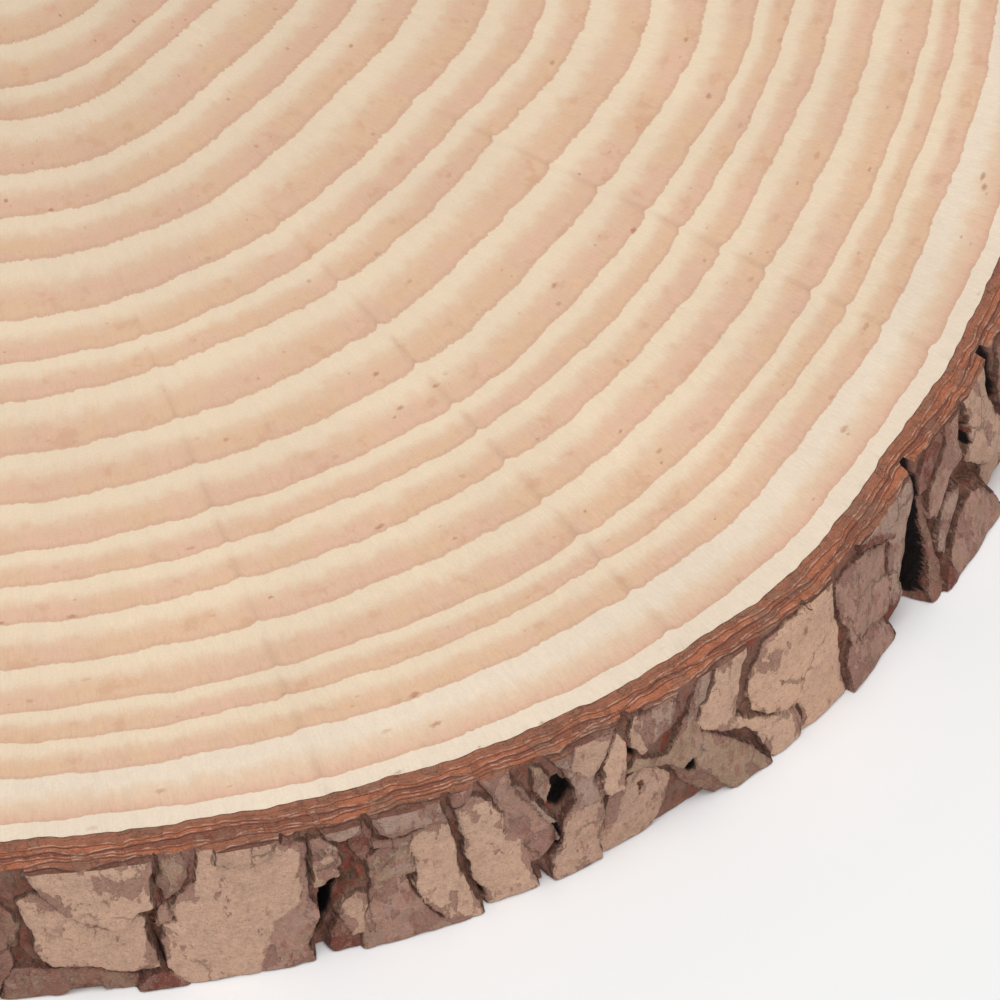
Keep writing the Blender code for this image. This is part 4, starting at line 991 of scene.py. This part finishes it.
def rough_bark():
    """Pine bark: sandy plates, patchier where they are worn, with brown furrows, painted shade as thin dark
    lines at the plates' edges and under them, and cracks and hollows painted near black as shade.

    The sawn rim shows its layers: russet and orange bands parted by thin, broken, pale lines, with dark
    lines of painted shade just outside them in places.
    """
    paint = Finish("pine_bark")
    point = paint.position()
    turned = paint.stretch(point, 1.0, 1.0, -1.0)
    clouds = paint.noise(point, 7.0, 3.0, 0.55)
    patches = paint.noise(paint.stretch(point, 1.0, 1.0, 0.5), 3.0, 6.0, 0.62)
    blots = paint.noise(turned, 2.4, 6.0, 0.62)
    mottle = paint.noise(point, 1.1, 3.0, 0.6)
    strands = paint.noise(paint.stretch(point, 1.0, 1.0, 0.36), 0.9, 3.0, 0.55)
    grit = paint.noise(turned, 0.45, 3.0, 0.65)
    sand = paint.noise(point, 0.2, 2.0, 0.7)
    bent = paint.joined(mottle * 2.2, patches * 2.2, blots * 2.2)
    scuffs = paint.cells(
        paint.vector("ADD", paint.stretch(point, 1.0, 1.0, 0.6), bent), 4.2, "DISTANCE_TO_EDGE",
    )
    crazing = paint.ramp(scuffs, 0.030, 0.010) * paint.ramp(clouds, 0.50, 0.60)
    wear, overhang, gloom, sawn = map(paint.number, ("wear", "overhang", "gloom", "sawn"))
    sunk = swung(paint.number("sunk"), (mottle, 0.12))
    edge = swung(paint.number("edge"), (patches, 0.2), (grit, 0.2))

    blooming = blots + wear * 0.10
    peeling = patches + paint.ramp(edge, 1.1, 0.1, 0.0, 0.07) + wear * 0.06
    plate = paint.layered(
        paint.stored_colour("tint"),
        ("lichen", paint.ramp(blooming, 0.55, 0.66) * (wear * 0.5 + 0.15)),
        ("weathered", paint.ramp(blooming, 0.52, 0.43) * (wear * 0.55 + 0.1)),
        ("peeled", paint.ramp(peeling, 0.600, 0.622, 0.0, 0.7)),
        ("streak", paint.ramp(strands + wear * 0.10, 0.62, 0.74, 0.0, 0.6)),
        ("furrow", paint.ramp(grit, 0.36, 0.27, 0.0, 0.55)),
        ("grain", paint.ramp(sand, 0.60, 0.72, 0.0, 0.3)),
    )
    floor = paint.layered(
        paint.tone("furrow"),
        ("russet", paint.ramp(strands, 0.40, 0.62)),
        ("dull", paint.ramp(blots, 0.46, 0.60, 0.0, 0.7)),
        ("peeled", paint.ramp(patches, 0.52, 0.60, 0.0, 0.6)),
        ("ember", paint.ramp(patches, 0.46, 0.38) * paint.ramp(edge, 0.2, -0.3) * 0.75),
    )
    # Painted shade on the outer wall: the seam is a thin dark line along each plate's outline, then a painted
    # shadow under the edges of higher plates and near-black shade in deep furrows and hollows; hairline
    # cracks are darkened with the same dark colour
    seam = paint.ramp((edge + 0.05).math("ABSOLUTE"), 0.17, 0.05) * paint.ramp(mottle, 0.36, 0.54, 0.15, 0.8)
    wall = paint.layered(
        paint.mix(paint.ramp(edge, -0.04, -0.30), plate, floor),
        ("shadow", seam),
        ("shadow", paint.ramp(overhang, 0.1, 0.8, 0.0, 0.75)),
        ("shadow", crazing * 0.4),
        ("crack_shade", paint.ramp(sunk, 0.38, 0.62)),
        ("crack_shade", paint.ramp(gloom, 0.02, 0.25)),
    )
    wall = paint.shade(wall, swung(1.0, (clouds, 0.35), (mottle, 0.34), (grit, 0.5), (sand, 0.6)))

    outward = paint.vector("NORMALIZE", paint.stretch(point, 1.0, 1.0, 0.0))
    along = paint.stretch(outward, BARK_RADIUS / 5.0, BARK_RADIUS / 5.0, 0.0)
    depth = paint.number("depth")
    fibres = paint.noise(paint.vector("ADD", along, paint.joined(z=depth / 0.24)), 1.0, 3.0, 0.6)
    depth = swung(depth, (mottle, 0.22), (grit, 0.16))
    layer = paint.mix(paint.ramp(depth, 0.02, 0.16), paint.tone("outer_bark"), paint.tone("inner_bark"))
    pale_lines = []
    dark_lines = []
    for order, name in enumerate(("orange", "russet", "orange", "inner_bark", "outer_bark")):
        off = depth - paint.number(f"line_{order}")
        layer = paint.layered(layer, (name, paint.ramp(off, -0.03, 0.03)))
        pale_lines.append(paint.ramp(off.math("ABSOLUTE"), 0.10, 0.03))
        # A dark line just outside each pale line is painted shade
        dark_lines.append(paint.ramp((off - 0.14).math("ABSOLUTE"), 0.12, 0.03))
    pale = Channel.strongest(*pale_lines)
    dark = Channel.strongest(*dark_lines)
    layer = paint.layered(
        layer,
        ("outer_bark", paint.ramp(fibres, 0.52, 0.68, 0.0, 0.45)),
        ("orange", paint.ramp(fibres, 0.46, 0.34, 0.0, 0.4)),
        ("dull", paint.ramp(patches, 0.50, 0.62, 0.0, 0.5)),
        ("shadow", dark * paint.ramp(patches, 0.56, 0.44, 0.1, 0.42)),
        ("seam", pale * paint.ramp(mottle, 0.46, 0.58, 0.05, 0.7)),
    )
    layer = paint.shade(layer, swung(1.25, (mottle, 0.6), (grit, 0.7), (sand, 0.4)))
    relief = mottle.swing(0.22) + grit.swing(0.30) + sand.swing(0.13) + strands.swing(0.2) * wear
    relief = relief - paint.ramp(peeling, 0.595, 0.622, 0.0, 0.12)
    relief = relief - (seam * 0.2 + crazing * 0.15) * (1.0 - sawn)
    relief = relief + (fibres.swing(0.35) - pale * 0.12 - dark * 0.18) * sawn
    return paint.finish(paint.mix(sawn, wall, layer), 0.88 + mottle.swing(0.12), 0.25, relief)


def bark_arc(name, first, last, stations):
    """One arc of the bark: its plated outer wall, its sawn rims, and a plain wall against the wood.

    Every station round the arc has the same loop of points: up the outer wall, in over the sawn top,
    down the cambium and out under the slice.
    """
    sizes = bpy.context.scene.slice_sizes
    station = np.linspace(first, last, stations)
    wall_heights = np.concatenate([
        [0.0, SAWN_EDGE],
        np.linspace(0.0, THICKNESS, sizes.wall_rows)[1:-1],
        [THICKNESS - SAWN_EDGE, THICKNESS],
    ])
    azimuth, height = np.meshgrid(station, wall_heights, indexing="ij")
    surface = bark_surface(azimuth.ravel(), height.ravel())
    rise = surface["rise"].reshape(azimuth.shape)
    inward = np.array(RIM_ROWS)
    depth = rise + (cambium(station) - boundary(station))[:, None]
    depth = np.concatenate([depth, depth[:, -1:] * inward, depth[:, :1] * inward[::-1]], axis=1)
    heights = np.concatenate([wall_heights, np.full(len(inward), THICKNESS), np.zeros(len(inward))])
    radius = boundary(station)[:, None] + depth
    points = around(station[:, None], radius, heights[None, :]).reshape(-1, 3)
    low, high = (np.array(corner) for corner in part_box("bark"))
    points = np.clip(points, low, high)
    piece = make_mesh(name, points, grid_faces(stations, len(heights), around_trunk=False, closed=True))

    def with_rims(values, rim_value=0.0):
        """Values on the outer wall, with one value on all the sawn rims' points."""
        rims = np.full((stations, 2 * len(inward)), rim_value)
        return np.concatenate([values.reshape(azimuth.shape), rims], axis=1)

    sawn = with_rims(np.zeros(azimuth.size), 1.0)
    sawn[:, 0] = sawn[:, len(wall_heights) - 1] = 1.0
    store_number(piece, "sawn", sawn)
    store_number(piece, "depth", depth)
    for channel in ("edge", "sunk", "gloom", "overhang", "wear"):
        store_number(piece, channel, with_rims(surface[channel]))
    tint = surface["tint"].reshape(*azimuth.shape, 3)
    rims = np.zeros((stations, 2 * len(inward), 3))
    store_colour(piece, "tint", np.concatenate([tint, rims], axis=1).reshape(-1, 3))
    for order, line in enumerate(scale_lines(station)):
        store_number(piece, f"line_{order}", np.repeat(line, len(heights)))
    return piece


def stage_surface():
    """A pale matte floor, wide enough to fill the view."""
    size = bpy.context.scene.slice_stage.floor_size
    corners = np.array([[-1.0, -1.0], [1.0, -1.0], [1.0, 1.0], [-1.0, 1.0]]) * size / 2.0
    points = np.concatenate([corners, np.full((4, 1), FLOOR_HEIGHT)], axis=1)
    floor = make_mesh("floor", points, np.array([[0, 1, 2, 3]]))
    paint = Finish("pale_floor")
    floor.data.materials.append(paint.finish((*bpy.context.scene.slice_stage.floor_colour, 1.0), 0.9, 0.1))


def soft_light(name, place, aim, size, watts):
    """A square area light at a place, turned to face a point."""
    lamp = bpy.data.lights.new(name, "AREA")
    lamp.size = size
    lamp.energy = watts
    holder = bpy.data.objects.new(name, lamp)
    holder.location = place
    holder.rotation_mode = "QUATERNION"
    holder.rotation_quaternion = (Vector(aim) - Vector(place)).to_track_quat("-Z", "Y")
    bpy.context.scene.collection.objects.link(holder)


def stage_lights():
    """One broad light overhead, one at the front and to the right, and an even pale sky."""
    stage = bpy.context.scene.slice_stage
    for name, place, aim, size in LIGHTS:
        soft_light(name, place, aim, size, getattr(stage, f"{name}_watts"))
    sky = bpy.data.worlds.new("pale_sky")
    sky.use_nodes = True
    sky.node_tree.nodes["Background"].inputs["Color"].default_value = (1.0, 1.0, 1.0, 1.0)
    sky.node_tree.nodes["Background"].inputs["Strength"].default_value = stage.sky_strength
    bpy.context.scene.world = sky
    bpy.context.scene.view_settings.view_transform = "Standard"


def stage_camera():
    """The camera above the near edge, looking down along +Y on the slice's lower right quarter."""
    stage = bpy.context.scene.slice_stage
    lens = bpy.data.cameras.new("camera")
    lens.lens = stage.lens
    lens.sensor_width = SENSOR_WIDTH
    lens.clip_start = NEAREST_SEEN
    holder = bpy.data.objects.new("camera", lens)
    aim = Vector((*stage.aim, THICKNESS * MM))
    tilt = stage.elevation
    back = Vector((0.0, -math.cos(tilt), math.sin(tilt)))
    holder.location = aim + back * stage.distance
    holder.rotation_euler = (math.pi / 2.0 - tilt, 0.0, 0.0)
    bpy.context.scene.collection.objects.link(holder)
    bpy.context.scene.camera = holder


def colour_property(name, description, red, green, blue):
    """A colour that a user can change, given as screen values."""
    return FloatVectorProperty(
        name=name, description=description, subtype="COLOR", size=3, min=0.0, max=1.0,
        default=srgb(red, green, blue),
    )


class SliceColours(bpy.types.PropertyGroup):
    """Colours of the wood and the bark."""

    cream: colour_property("Cream", "Start of a ring", 240, 217, 188)
    fresh: colour_property("Fresh", "Between a ring's cream and its pink", 233, 203, 173)
    pink: colour_property("Pink", "Later part of a ring", 229, 188, 160)
    peach: colour_property("Peach", "Later part of a ring, where it is warmer", 229, 190, 156)
    late: colour_property("Late", "End of a ring", 219, 177, 149)
    pale: colour_property("Pale", "The last two rings", 239, 220, 197)
    smudge: colour_property("Smudge", "Soft stains in a ring's pink", 211, 160, 127)
    resin: colour_property("Resin", "Marks of resin", 172, 108, 74)
    pith: colour_property("Pith", "The soft middle of the trunk", 150, 105, 72)
    inner_bark: colour_property("Inner bark", "Brown layers of the bark", 152, 100, 78)
    orange: colour_property("Orange", "Brighter layers of the bark", 172, 106, 78)
    russet: colour_property("Russet", "Reddish layers and furrow walls", 138, 86, 69)
    outer_bark: colour_property("Outer bark", "Darkest layers on the sawn face", 116, 78, 65)
    seam: colour_property("Seam", "Pale lines between the bark's layers", 192, 152, 132)
    weathered: colour_property("Weathered", "Grey bloom on worn plates", 166, 138, 126)
    lichen: colour_property("Lichen", "Olive bloom on worn plates", 148, 121, 101)
    peeled: colour_property("Peeled", "Mauve patches where a thin scale has come off", 141, 102, 91)
    streak: colour_property("Streak", "Russet streaks down the plates", 142, 92, 76)
    grain: colour_property("Grain", "Pale sandy grains", 206, 178, 156)
    furrow: colour_property("Furrow", "Floors of the furrows", 122, 85, 69)
    dull: colour_property("Dull", "Olive brown in the furrows", 132, 104, 87)
    # Painted shade: lines at the plates' edges, the shadow under them and the lines beside the rim's pale
    # lines; it also darkens hairline cracks
    shadow: colour_property("Shadow", "Thin dark lines at the plates' edges", 88, 58, 47)
    ember: colour_property("Ember", "Bright russet in the furrows", 132, 62, 48)
    # Near-black painted shade in deep cracks, furrows and hollows
    crack_shade: colour_property("Crack", "Deep cracks", 26, 17, 14)


class SliceSizes(bpy.types.PropertyGroup):
    """How finely the pieces are made."""

    wood_stations: IntProperty(name="Wood columns", description="Columns round the wood", default=1800)
    near_stations: IntProperty(name="Near columns", description="Columns in the near arc", default=760)
    far_stations: IntProperty(name="Far columns", description="Columns in each other arc", default=1040)
    wall_rows: IntProperty(name="Wall rows", description="Rows of points up the bark", default=80)


class SliceStage(bpy.types.PropertyGroup):
    """Floor, lights and camera."""

    floor_size: FloatProperty(name="Floor", description="Side of the floor", default=8.0, unit="LENGTH")
    floor_colour: colour_property("Floor colour", "Colour of the floor", 250, 250, 250)
    overhead_watts: FloatProperty(name="Overhead", description="Power of the light overhead", default=7.9)
    front_watts: FloatProperty(name="Front", description="Power of the light at the front", default=6.6)
    sky_strength: FloatProperty(name="Sky", description="Strength of the even sky light", default=0.32)
    lens: FloatProperty(name="Lens", description="Focal length in mm", default=144.0)
    distance: FloatProperty(name="Distance", description="Camera to aim point", default=0.380, unit="LENGTH")
    elevation: FloatProperty(
        name="Elevation", description="How far the camera looks down", default=math.radians(56.48),
        subtype="ANGLE",
    )
    aim: FloatVectorProperty(
        name="Aim", description="Point on the top face that the camera looks at, from the pith", size=2,
        default=(0.05715, -0.07856), subtype="TRANSLATION",
    )


class SLICE_OT_wood(bpy.types.Operator):
    """Adds the sawn wood with its growth rings."""

    bl_idname = "slice.wood"
    bl_label = "Wood"

    def execute(self, context):
        piece = wood_disc()
        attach(piece, "root")
        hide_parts("wood")
        return {"FINISHED"}


class SLICE_OT_bark(bpy.types.Operator):
    """Adds the ring of bark, in arcs that meet without a gap."""

    bl_idname = "slice.bark"
    bl_label = "Bark"

    def execute(self, context):
        sizes = context.scene.slice_sizes
        material = rough_bark()
        for order, (name, first, last) in enumerate(BARK_ARCS):
            stations = sizes.near_stations if order == 0 else sizes.far_stations
            piece = bark_arc(name, first, last, stations)
            piece.data.materials.append(material)
            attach(piece, "root")
            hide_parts("bark")
        return {"FINISHED"}


class SLICE_OT_stage(bpy.types.Operator):
    """Adds the floor, the lights and the camera."""

    bl_idname = "slice.stage"
    bl_label = "Stage"

    def execute(self, context):
        stage_surface()
        stage_lights()
        stage_camera()
        return {"FINISHED"}


class SLICE_PT_panel(bpy.types.Panel):
    """Lists the slice's pieces, colours and stage."""

    bl_label = "Wood slice"
    bl_space_type = "VIEW_3D"
    bl_region_type = "UI"
    bl_category = "Wood slice"

    def draw(self, context):
        for operator in (SLICE_OT_stage, SLICE_OT_wood, SLICE_OT_bark):
            self.layout.operator(operator.bl_idname)
        for group in (context.scene.slice_colours, context.scene.slice_sizes, context.scene.slice_stage):
            for name in group.bl_rna.properties.keys():
                if name not in {"rna_type", "name"}:
                    self.layout.prop(group, name)


CLASSES = (SliceColours, SliceSizes, SliceStage, SLICE_OT_wood, SLICE_OT_bark, SLICE_OT_stage, SLICE_PT_panel)


def register():
    """Registers the classes and hangs the settings on the scene."""
    for kind in CLASSES:
        bpy.utils.register_class(kind)
    bpy.types.Scene.slice_colours = PointerProperty(type=SliceColours)
    bpy.types.Scene.slice_sizes = PointerProperty(type=SliceSizes)
    bpy.types.Scene.slice_stage = PointerProperty(type=SliceStage)


def unregister():
    """Takes back what register did."""
    del bpy.types.Scene.slice_colours
    del bpy.types.Scene.slice_sizes
    del bpy.types.Scene.slice_stage
    for kind in reversed(CLASSES):
        bpy.utils.unregister_class(kind)


def main():
    """Builds everything."""
    register()
    bpy.ops.slice.stage()
    bpy.ops.slice.wood()
    bpy.ops.slice.bark()


if __name__ == "__main__":
    main()
